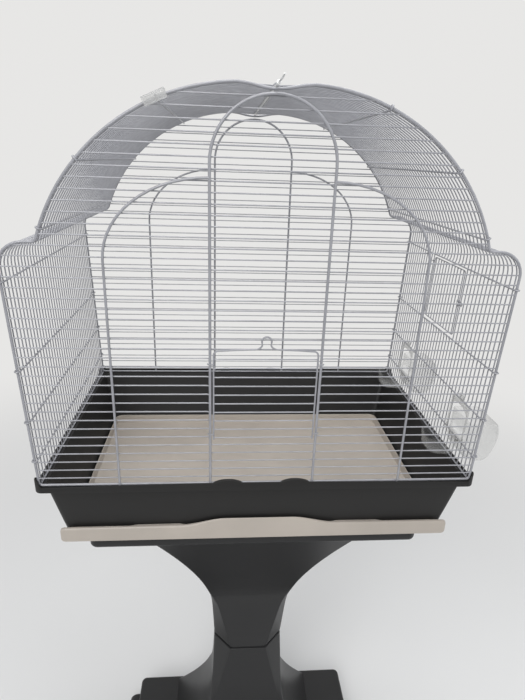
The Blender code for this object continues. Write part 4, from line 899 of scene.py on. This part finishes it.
def makeHopper():
    wall, half, back, top = feeder["wall"], feeder["throatHalf"], feederBack, feeder["top"]
    low, high = feeder["cupBottom"], feeder["cupTop"]
    sill = (crossLow + gauge["cross"] / 2) * leanSlant + gap
    throatTop, chute = sill + feeder["throatHeight"], cupFace - feeder["chute"]
    throat = duct(chute, back + 2 * wall, half, sill, throatTop)
    body = unite(bucketSlab(0, top), soften(throat, feeder["throatRound"]))
    drop = duct(chute + wall / 2, cupFace, half - 3 * wall, (low + high) / 2, sill + 2 * wall)
    unite(body, soften(drop, feeder["chuteRound"]))
    unite(body, cupSkin("outer"))
    cut(body, bucketSlab(wall, top + wall))
    cut(body, duct(chute + wall, back + 3 * wall, half - wall, sill + wall, throatTop - wall))
    cut(body, duct(chute + 1.5 * wall, cupFace - wall, half - 4 * wall,
                   high - 3 * wall, sill + 3 * wall))
    cut(body, cupSkin("inner", wall))
    return soften(body, feeder["edge"], 2, 60)


def makeHolder():
    wall, half, foot = feeder["holderWall"], feeder["holderHalf"], feeder["holderFoot"]
    rail, apart = crossFeeder * leanSlant, gauge["cross"] / 2 + gap
    under, over = rail - apart, rail + apart
    lip, upperLip, spine = -feederBack, cupFace + 3 * gap, cupFace - wall
    tip = over + feeder["holderTab"]
    outline = [(lip, under - wall), (lip, under), (cupFace, under), (cupFace, over), (upperLip, over),
               (upperLip, over + wall / 2), (cupFace, over + wall), (cupFace, tip), (spine, tip),
               (spine, foot), (cupFace, foot), (cupFace, under - wall)]
    shape = slab([(x, -half, z) for x, z in outline], (0, 2 * half, 0))
    first, last, spare = feeder["cutFrom"], feeder["cutTo"], feeder["cutSpare"]
    for side in (-1, 1):    # only a short tab stands over the rail
        low, high = sorted((side * feeder["tabHalf"], side * (half + spare)))
        cut(shape, block((first, low, under + feeder["tabGap"]), (last, high, tip + spare)))
    width, bend = half - feeder["frameWidth"], feeder["archCorner"]
    spring = under - wall - feeder["frameWidth"] - bend
    inside = [(-width, foot - spare), *arc(0, spring, -width, bend, 0, pi, 16), (width, foot - spare)]
    cut(shape, slab([(last, y, z) for y, z in inside], (first - last, 0, 0)))    # the arch's middle
    return soften(shape, feeder["holderEdge"], 2, 50)


def makeFeeders():
    hopper, holder = makeHopper(), makeHolder()
    for prefix in ("near", "rear"):
        place = wallFrame(sideWireY(openings[prefix + "Feeder"]))
        finishPiece([copyOf(hopper)], prefix + "Hopper", prefix + "_feeder",
                    clearMilky, [prefix + "_feeder_hopper"], place, 35)
        finishPiece([copyOf(holder)], prefix + "Holder", "cage_and_stand",
                    clearFrame, [prefix + "_feeder_holder"], place, 35)
    discard(hopper, holder)


makeFeeders()
print("feeders made")

# Base tub
tub = {"height": 0.1214, "inset": 0.0037, "draft": 0.187, "wall": 0.003, "floor": 0.0024,
       "corner": 0.011, "rimDepth": 0.0085, "sideReach": 0.0075, "lip": 0.0018, "lipEdge": 0.0006,
       "lipCrown": 0.0060, "lipSide": 0.0012, "lipRear": 0.0064, "lipRound": 0.0004,
       "postHeight": 0.0135, "ramp": 0.012, "cornerNear": 0.0005, "round": 0.0009,
       "roundShare": 0.3, "cornerShare": 0.6, "stages": (0.66, 0.33, 0),
       "tabCentre": 0.053, "tabHalf": 0.025, "tabHeight": 0.0104, "rearTab": 0.0087, "tabRound": 0.0007,
       "noseHalf": 0.008, "noseHeight": 0.0044, "noseRound": 0.0010, "slot": 0.0252,
       "wireGap": 0.0004, "tabSink": 0.0002, "slotInset": 0.0002}
tubKnots = {    # inset, change of the corner, and height: at the foot, the seat and the floor
    "foot": ((0.004, -0.003, 0), (0.0012, -0.0008, 0.0011), (-0.0004, 0, 0.0040)),
    "seat": ((0, 0, 0), (0.0006, 0, -0.0012)),
    "floor": ((-0.0009, 0, 0.0050), (0.0015, -0.001, 0.0010), (0.005, -0.003, 0)),
}
tubBottom = -gap - tub["height"]
tubFloorTop = tubBottom + tub["floor"]
panBottom = tubFloorTop + gap
rimHalf = (cage["halfWidth"] + tub["sideReach"],
           archY + gauge["arch"] / 2 + tub["wireGap"] + tub["lip"])


def tubHalf(depth):
    inset = tub["inset"] + tub["draft"] * depth
    return cage["halfWidth"] - inset, cage["halfDepth"] - inset


tubBase = [size - tub["wall"] for size in tubHalf(tub["height"] - tub["floor"])]


def easeIn(share):
    share = max(0.0, min(1.0, share))
    return share * share * (3 - 2 * share)


def tubRing(halfX, halfY, radius, height):    # a fine ring whose height follows the lip
    endX, endY = halfX - radius, halfY - radius
    alongX = [endX * (1 - step / 20) for step in range(1, 40)]
    alongY = [endY * (1 - step / 12) for step in range(1, 24)]
    edges = ([(x, halfY) for x in alongX], [(-halfX, y) for y in alongY],
             [(-x, -halfY) for x in alongX], [(halfX, -y) for y in alongY])
    places = [place for turn in range(4)
              for place in cornerArc(turn, endX, endY, radius, 8) + edges[turn]]
    return [(x, y, height(x, y, endX, endY)) for x, y in places]


def lipHeight(lower=0.0):
    def height(x, y, endX, endY):
        if abs(x) <= endX + tub["cornerNear"]:
            crown = tub["lipRear"]
            if y < 0:
                fade = 1 - min(1.0, abs(x) / endX) ** 2
                crown = tub["lipEdge"] + (tub["lipCrown"] - tub["lipEdge"]) * fade
            return crown - lower
        near = easeIn((abs(y) - (endY - tub["ramp"])) / tub["ramp"])    # posts round the corners
        if y < 0:
            near *= easeIn(2 * (abs(x) - endX) / tub["corner"])
        return tub["lipSide"] + (tub["postHeight"] - tub["lipSide"]) * near - lower

    return height


def flat(z):
    return lambda x, y, endX, endY: z


def tubShell():
    radius, inner, small = tub["corner"], tub["corner"] - tub["wall"], tub["round"]
    deep, lip, less = tub["rimDepth"], tub["lip"], tub["round"] * tub["roundShare"]
    top = [size - tub["wall"] for size in tubHalf(0)]

    def ring(sizes, inset, corner, height):
        return tubRing(sizes[0] - inset, sizes[1] - inset, corner, height)

    def knotted(key, sizes, z):
        return [ring(sizes, inset, inner + bend, flat(z + up)) for inset, bend, up in tubKnots[key]]

    rings = knotted("foot", tubHalf(tub["height"]), tubBottom)
    for share in tub["stages"]:    # outside, up to the rim
        depth = deep + (tub["height"] - deep) * share
        rings.append(ring(tubHalf(depth), 0, inner + (radius - inner) * (1 - share), flat(-depth)))
    rings += [ring(rimHalf, inset, radius - inset * tub["cornerShare"], height) for inset, height in (
        (small, flat(-deep)), (less, flat(less - deep)), (0, flat(small - deep)),
        (0, lipHeight(small)), (less, lipHeight(less)), (small, lipHeight()),
        (lip, lipHeight(tub["lipRound"])), (lip, flat(-gap)))]
    return loft(rings + knotted("seat", top, -gap) + knotted("floor", tubBase, tubFloorTop))


def tubTab(centre, facing, height):    # a tab outside the frame wire and its nose over the wire
    start, end = rimHalf[1] - tub["tabSink"], cage["halfDepth"] + gauge["frame"] / 2 + gap
    half, foot, nose = tub["tabHalf"], -gap - tub["rimDepth"] / 2, tub["noseHalf"]
    outline = [(centre + half, foot), *arc(centre, 0, half, height, 0, pi, 24), (centre - half, foot)]
    tab = slab([(x, facing * start, z) for x, z in outline], (0, facing * (end - start), 0))
    near, far = sorted((facing * (end + 2 * gap), facing * cage["halfDepth"]))
    low = gauge["frame"] + gap
    catch = block((centre - nose, near, low), (centre + nose, far, low + tub["noseHeight"]))
    return soften(tab, tub["tabRound"], 3, 50), soften(catch, tub["noseRound"])


def makeTub():
    shell = tubShell()
    tabs = []
    for centre in (-tub["tabCentre"], tub["tabCentre"]):
        for facing, height in ((-1, tub["tabHeight"]), (1, tub["rearTab"])):
            tabs += tubTab(centre, facing, height)
    for tab in tabs:
        unite(shell, tab)
    slotHalf = tubBase[0] - tub["slotInset"]
    cut(shell, block((-slotHalf, -rimHalf[1], tubFloorTop - gap),
                     (slotHalf, tub["corner"] - tubBase[1], tubBottom + tub["slot"])))
    finishPiece([shell], "baseTub", "cage_and_stand", tubPlastic,
                ["base_tub"], toCage, 30)


makeTub()
print("tub made")

# Slide-out tray: pan and its S-curved front with a rounded shelf
tray = {"clearance": 0.0008, "floor": 0.0022, "wall": 0.0020, "depth": 0.0202, "corner": 0.0165,
        "frontHalf": 0.325, "thickness": 0.0020, "endHeight": 0.0258, "landHeight": 0.0268,
        "pullHeight": 0.0400, "pullHalf": 0.068, "landHalf": 0.130, "landEase": 0.012,
        "backGap": 0.0038, "round": 0.0042, "stations": 130, "closeGap": 0.0007, "openGap": 0.0036,
        "closeFrom": (0.122, 0.012), "closeTo": (0.200, 0.015), "edgeDepth": 0.0034,
        "endRound": 0.0075, "endTop": 0.0032, "endFoot": 0.0052, "edge": 0.0004,
        "footRound": 0.0005, "shelfRound": 0.0003, "shelfFlat": 0.0004, "fillet": 0.0010}
panKnots = {    # inset and height: outside at the foot and the rim, inside at the rim and the floor
    "foot": ((0.0020, 0), (0.0006, 0.0006), (0, 0.0020)),
    "rim": ((0, -0.0006), (0.0003, -0.0001), (0.0008, 0)),
    "inner": ((-0.0003, -0.0001), (0, -0.0006)),
    "floor": ((0, 0.0030), (0.0008, 0.0008), (0.0030, 0)),
}


def frontHeight(x):    # height of the tray's front over its foot
    x, land, pull = abs(x), tray["landHeight"], tray["pullHeight"]
    if x >= tray["landHalf"]:
        share = (x - tray["landHalf"]) / (tray["frontHalf"] - tray["landHalf"])
        return land + (tray["endHeight"] - land) * share
    share = (tray["landHalf"] - x) / (tray["landHalf"] - tray["pullHalf"] + tray["landEase"])
    return land + (pull - land) * easeIn(share)


def gapBehind(x):    # the shelf nearly touches the tub only between the pull and the ends
    rise, fall = (easeIn((abs(x) - start) / length)
                  for start, length in (tray["closeFrom"], tray["closeTo"]))
    return tray["openGap"] + (tray["closeGap"] - tray["openGap"]) * rise * (1 - fall)


def makePan(front):
    halfX, halfY = (size - tray["clearance"] for size in tubBase)
    middle, halfDepth = (halfY + front) / 2, (halfY - front) / 2
    wall, top = tray["wall"], tray["depth"]
    starts = (("foot", 0, 0), ("rim", 0, top), ("inner", wall, top), ("floor", wall, tray["floor"]))
    knots = [(first + inset, level + up) for key, first, level in starts for inset, up in panKnots[key]]
    return loft([roundedRing(halfX - inset, halfDepth - inset, tray["corner"] - inset, panBottom + up,
                             (0, middle)) for inset, up in knots])


def frontProfile(x, backPlane):    # the front's section at a place across
    thick, fall, outer = tray["thickness"], tray["round"], -backPlane - tray["thickness"]
    near = min(1.0, (tray["frontHalf"] - abs(x)) / tray["endRound"])
    drawn = 1 - sqrt(max(0.0, 1 - (1 - near) ** 2))
    height, foot = frontHeight(x) - drawn * tray["endTop"], drawn * tray["endFoot"]
    under = tub["height"] - (height + panBottom - tubBottom)
    shelf = max(-tubHalf(under)[1] - gapBehind(x), outer + thick)
    bend = min(shelf - outer - tray["shelfFlat"], tray["edgeDepth"])
    hem, small, edge, back = tray["footRound"], tray["shelfRound"], tray["edge"], outer + thick
    profile = [(outer + hem, foot), (outer, foot + hem),
               *arc(outer + bend, height - fall, -bend, fall, 0, pi / 2, 8),
               (shelf - small, height), (shelf, height - small), (shelf, height - thick),
               (back, height - thick - tray["fillet"]), (back, foot + edge), (back - edge, foot)]
    return [(x, y, panBottom + lift) for y, lift in profile]


def makeTray():
    pullTop = tub["height"] - (tray["pullHeight"] + panBottom - tubBottom)
    backPlane = tubHalf(pullTop)[1] + tray["backGap"]
    pan = makePan(-backPlane - tray["thickness"] / 2)
    half, inner, count = tray["frontHalf"], tray["frontHalf"] - tray["endRound"], tray["stations"]
    ends = [tray["endRound"] * (1 - cos(pi / 2 * step / 6)) for step in range(6)]
    places = [edge - half for edge in ends]
    places += [inner * (2 * station / count - 1) for station in range(count + 1)]
    places += [half - edge for edge in reversed(ends)]
    plate = soften(loft([frontProfile(x, backPlane) for x in places]), tray["edge"], 2, 60)
    finishPiece([pan, plate], "slideOutTray", "tray", trayPlastic,
                ["slide_out_tray"], toCage, 35)


makeTray()
print("tray made")

# Stand: two equal mouldings
stand = {"casterHeight": 0.047, "plate": 0.041, "halfWidth": 0.292, "halfDepth": 0.18, "round": 0.008,
         "corner": 0.014, "wall": 0.004, "columnHeight": 0.3995, "groove": 0.0036, "grooveHalf": 0.0030,
         "chamferHeight": 0.185, "columnCorner": 0.004, "softStart": 0.16, "ledge": 0.018,
         "ledgeThick": 0.005, "steps": 40, "edge": 0.0010, "brim": 0.0008,
         "seamStep": ((0.0003, 0.0008), (0.0012, 0))}
column = {    # across and in depth
    "seam": (0.077, 0.060), "chamfer": (0.038, 0.042), "taper": (0.015, 0.0055),
    "flare": (0.185, 0.170), "start": (0.13, 0.155), "power": (1.6, 1.15),
}
socket = {"bore": 0.0053, "radius": 0.009, "mouth": 0.0085, "height": 0.038,
          "insetX": 0.016, "insetY": 0.030}
casterX, casterY = stand["halfWidth"] - socket["insetX"], stand["halfDepth"] - socket["insetY"]
seamZ = stand["casterHeight"] + stand["plate"] + stand["columnHeight"]
standPlace = Matrix.Translation((cageOrigin.x, cageOrigin.y, 0))


def flareShare(share):    # 0, then rising evenly, with a soft start
    soft = stand["softStart"]
    if share < -soft:
        return 0.0
    return share if share > soft else (share + soft) ** 2 / (4 * soft)


def columnSection(distance):    # half sizes, corner cuts and how far the chamfer has faded
    sizes = []
    for seam, taper, flare, start, power in zip(
            *(column[key] for key in ("seam", "taper", "flare", "start", "power"))):
        share = flareShare((distance - start) / (stand["columnHeight"] - start))
        straight = seam + taper * distance / stand["columnHeight"]
        sizes.append(straight + (flare - seam - taper) * share ** power)
    fade, least = max(0.0, 1 - distance / stand["chamferHeight"]), stand["columnCorner"]
    return sizes, [least + (size - least) * fade for size in column["chamfer"]], fade


def corneredRing(halfX, halfY, cutX, cutY, bulge, z):
    corner = []
    for step in range(7):
        angle, share = pi / 2 * step / 6, step / 6
        corner.append((halfX - cutX + cutX * (cos(angle) * bulge + (1 - share) * (1 - bulge)),
                       halfY - cutY + cutY * (sin(angle) * bulge + share * (1 - bulge))))
    return [(sx * x, sy * y, z) for sx, sy in quarters for x, y in corner[::sx * sy]]


def columnRing(distance, inset=0.0):
    (halfX, halfY), cuts, fade = columnSection(distance)
    bulge = 1 - easeIn(min(1, fade * 3))
    return corneredRing(halfX - inset, halfY - inset, *cuts, bulge, -distance)


def plateRing(distance, inset, corner):
    halfX, halfY = stand["halfWidth"] - inset, stand["halfDepth"] - inset
    return corneredRing(halfX, halfY, corner, corner, 1, -distance)


def makeStandHalf():    # the lower moulding, its seam at the top
    plate, wall, start = stand["columnHeight"], stand["wall"], gap / 2
    rounding, corner, brim, groove = stand["round"], stand["corner"], stand["brim"], stand["groove"]
    ledge, grooveEnd = start + stand["ledgeThick"], start + stand["grooveHalf"]
    foot = plate + stand["plate"]
    levels = [ledge + (plate - ledge) * step / stand["steps"] for step in range(stand["steps"] + 1)]
    (seamX, seamY), seamCuts = columnSection(0)[:2]
    rings = [corneredRing(seamX - groove, seamY - groove, *seamCuts, 0, -level)
             for level in (start, grooveEnd)]
    rings += [columnRing(grooveEnd + drop, inset) for drop, inset in stand["seamStep"]]
    rings += [columnRing(level) for level in levels]
    rings += [plateRing(plate + drop, inset, corner - inset)
              for drop, inset in arc(rounding, rounding, -rounding, -rounding, 0, pi / 2, 6)]
    rings += [plateRing(foot - brim, 0, corner), plateRing(foot, brim, corner - brim),
              plateRing(foot, wall, corner - wall),
              plateRing(plate + rounding + wall, wall, corner - wall),
              plateRing(plate + wall, rounding + wall, corner - rounding)]
    inner = [columnRing(level, wall) for level in levels]
    inner[-1] = [(x, y, -plate - wall) for x, y, z in inner[-1]]
    opening = [size - wall - stand["ledge"] for size in column["seam"]]
    cuts = [size / 2 for size in column["chamfer"]]
    rings += inner[::-1] + [corneredRing(*opening, *cuts, 0, -level) for level in (ledge, start)]
    half = edit(loft(rings, True))
    bpy.ops.transform.translate(value=(0, 0, seamZ))
    close(half)
    low, high = stand["casterHeight"] + gap, stand["casterHeight"] + socket["height"]
    profile = [(socket["bore"], low), (socket["mouth"], low), (socket["radius"], low - gap + brim),
               (socket["radius"], high), (socket["bore"], high)]
    sockets = [lathe(profile, (x, y, 0)) for x in (-casterX, casterX) for y in (-casterY, casterY)]
    return joinPieces([half] + sockets)


def makeStand():
    lower = soften(makeStandHalf(), stand["edge"], 2, 24)
    upper = edit(copyOf(lower))
    bpy.ops.transform.resize(value=(1, 1, -1), center_override=(0, 0, seamZ))
    closeSkin(upper)
    for prefix, piece in (("lower", lower), ("upper", upper)):
        finishPiece([piece], prefix + "StandHalf", "cage_and_stand", standPlastic,
                    [prefix + "_stand_half"], standPlace, 30)


makeStand()
print("stand made")

# Casters
caster = {"wheel": 0.0210, "width": 0.0154, "trail": 0.026, "hood": 0.0235, "cheek": 0.0100,
          "skirt": 0.011, "boss": 0.009, "bossLow": 0.022, "stem": 0.0050, "axle": 0.0025,
          "socketDepth": 0.030, "round": 0.0022, "bossRound": 0.0006, "stemRound": 0.0008,
          "wheelSpace": 0.0010, "edge": 0.0004, "boreHalf": 0.02, "cutLow": (-0.06, -0.03, -0.03),
          "cutHigh": (0.03, 0.03)}
wheel = {    # (radius or its change, distance): from the side, and for the groove from the middle
    "hubRound": 0.0006, "dish": ((0.0062, 0), (0.0068, 0.0012), (0.0148, 0.0012), (0.0155, 0)),
    "shoulder": ((-0.0016, 0), (-0.0005, 0.0005), (0, 0.0016)),
    "groove": ((0, 0.0036), (-0.0007, 0.0032), (-0.0007, 0.0024), (0, 0.0020)),
}


def makeHousing():
    centre = (-caster["trail"], 0, caster["wheel"])
    radius, cheek, rounding = caster["hood"], caster["cheek"], caster["round"]
    side = arc(radius - rounding, rounding - cheek, rounding, rounding, -pi / 2, 0, 5)
    hood = lathe(mirrored([(0, -cheek)] + side), centre, (0, 1, 0), 56)
    low, top = caster["bossLow"], caster["wheel"] + radius - gap
    end = stand["casterHeight"] + caster["socketDepth"] - gap
    boss, stem, bend, tip = (caster[key] for key in ("boss", "stem", "bossRound", "stemRound"))
    unite(hood, lathe([(0, low), (boss - bend, low), (boss, low + bend), (boss, top - bend),
                       (boss - bend, top), (stem, top), (stem, end - tip), (stem - tip, end),
                       (0, end)]))
    space, half = caster["wheel"] + caster["wheelSpace"], caster["width"] / 2 + gap
    cut(hood, cylinder(space, half, centre, (0, 1, 0), 56))
    cut(hood, block(caster["cutLow"], (*caster["cutHigh"], caster["skirt"])))
    cut(hood, cylinder(caster["axle"] + gap, caster["boreHalf"], centre, (0, 1, 0)))
    return soften(hood, caster["edge"], 2, 50)


def makeWheel():
    bore, radius, half = caster["axle"] + gap, caster["wheel"], caster["width"] / 2
    side = [(bore, wheel["hubRound"] - half), (bore + wheel["hubRound"], -half)]
    side += [(place, along - half) for place, along in wheel["dish"]]
    side += [(radius + out, along - half) for out, along in wheel["shoulder"]]
    side += [(radius + out, -along) for out, along in wheel["groove"]]
    return lathe(mirrored(side) + side[:1], (-caster["trail"], 0, radius), (0, 1, 0), 64)


def makeCasters():
    housing, roller = makeHousing(), makeWheel()
    for row, y in (("front", -casterY), ("rear", casterY)):
        for side, x in (("left", -casterX), ("right", casterX)):
            place = standPlace @ Matrix.Translation((x, y, 0))
            prefix, label = row + "_" + side, row + side.capitalize()
            finishPiece([copyOf(housing)], label + "CasterHousing", prefix + "_swivel",
                        casterPlastic, [prefix + "_caster_housing"], place, 35)
            finishPiece([copyOf(roller)], label + "CasterWheel", prefix + "_wheel",
                        treadPlastic, [prefix + "_caster_wheel"], place, 35)
    discard(housing, roller)


makeCasters()
print("casters made")

# CAD nodes shown as they are
kept = {"column_joiner": tubPlastic}
for place in ("front", "rear", "left", "right"):
    kept[place + "_joiner_screw"] = zincSteel
for place in ("front_left", "front_right", "rear_left", "rear_right"):
    kept[place + "_caster_axle"] = zincSteel
for name, look in kept.items():
    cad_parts[name].data.materials.clear()
    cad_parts[name].data.materials.append(look)
print("carried-over pieces painted")


# Surroundings
studio = {"backdrop": (0.80, 0.795, 0.785), "floor": (0.78, 0.775, 0.765), "sky": (0.93, 0.96, 1.0),
          "soft": 0.42, "floorSize": 60, "fade": (0.9, 3.2)}
lights = {    # place, target, size, power, colour
    "keyLight": ((-0.9, -2.5, 3.1), (0, 0, 1.0), 2.2, 75, (1, 1, 1)),
    "fillLight": ((2.6, -1.2, 1.8), (0, 0, 0.8), 2.0, 16, (0.96, 0.98, 1.0)),
    "topLight": ((0.1, 0.2, 3.4), (0, 0, 1.0), 1.8, 37, (1, 1, 1)),
}
view = {"place": (-0.0889, -0.8636, 1.5333), "yaw": -4.89, "pitch": 20.71, "roll": 2.07,
        "lens": 26.07, "sensor": 36, "nearest": 0.01}


def addLight(name, place, target, size, power, color):
    clearSelection()
    bpy.ops.object.light_add(type="AREA", location=place)
    lamp = bpy.context.object
    lamp.name = name
    lamp.data.size = size
    lamp.data.energy = power
    lamp.data.color = color
    lamp.rotation_euler = (Vector(target) - Vector(place)).to_track_quat("-Z", "Y").to_euler()


def makeFloor():    # far from the middle it turns into the backdrop
    clearSelection()
    bpy.ops.mesh.primitive_plane_add(size=studio["floorSize"])
    ground = bpy.context.object
    ground.name = "studioFloor"
    color = studio["floor"]
    made, tree, shader = material("paleFloor", color, Roughness=0.7)
    mottle = blend(tree, noise(tree, 2.5, 4), tone(color, 0.985), tone(color, 1.015))
    feedAll(tree, shader, BaseColor=mottle)
    away = addNode(tree, "ShaderNodeVectorMath", {"operation": "LENGTH"},
                   {0: objectSpace(tree)}, "Value")
    glow = addNode(tree, "ShaderNodeEmission",
                   inputs={"Color": (*studio["backdrop"], 1), "Strength": 1.0})
    seen = addNode(tree, "ShaderNodeLightPath", output="Is Camera Ray")
    share = between(tree, away, *studio["fade"]) * seen
    mixed = addNode(tree, "ShaderNodeMixShader",
                    inputs={0: share, 1: Socket(tree, shader.outputs[0]), 2: glow})
    feed(tree, tree.nodes["Material Output"].inputs["Surface"], mixed)
    ground.data.materials.append(made)


def makeWorld():    # soft light, and the backdrop where it is seen
    world = bpy.data.worlds.new("studioWorld")
    bpy.context.scene.world = world
    world.use_nodes = True
    tree = world.node_tree
    tree.nodes.clear()
    rays = tree.nodes.new("ShaderNodeLightPath")
    camera, glossy, through = (Socket(tree, rays.outputs[name]) for name in (
        "Is Camera Ray", "Is Glossy Ray", "Is Transmission Ray"))
    lit = addNode(tree, "ShaderNodeBackground",
                  inputs={"Color": (*studio["sky"], 1), "Strength": studio["soft"]})
    shown = addNode(tree, "ShaderNodeBackground",
                    inputs={"Color": (*studio["backdrop"], 1), "Strength": 1.0})
    mixed = addNode(tree, "ShaderNodeMixShader",
                    inputs={0: camera + glossy + through, 1: lit, 2: shown})
    feed(tree, tree.nodes.new("ShaderNodeOutputWorld").inputs["Surface"], mixed)


def makeCamera():
    yaw, pitch, roll = (radians(view[key]) for key in ("yaw", "pitch", "roll"))
    level, ahead = Vector((cos(yaw), sin(yaw), 0)), Vector((-sin(yaw), cos(yaw), 0))
    up = Vector((0, 0, 1))
    forward = cos(pitch) * ahead - sin(pitch) * up
    above = cos(pitch) * up + sin(pitch) * ahead
    right = cos(roll) * level + sin(roll) * above
    above = -sin(roll) * level + cos(roll) * above
    clearSelection()
    bpy.ops.object.camera_add(location=view["place"])
    camera = bpy.context.object
    camera.data.lens = view["lens"]
    camera.data.sensor_width = view["sensor"]
    camera.data.clip_start = view["nearest"]
    turn = Matrix((right, above, -forward)).transposed().to_4x4()
    camera.matrix_world = Matrix.Translation(view["place"]) @ turn
    bpy.context.scene.camera = camera


makeFloor()
makeWorld()
makeCamera()
for name, values in lights.items():
    addLight(name, *values)
bpy.context.scene.view_settings.view_transform = "Standard"
print("surroundings made")
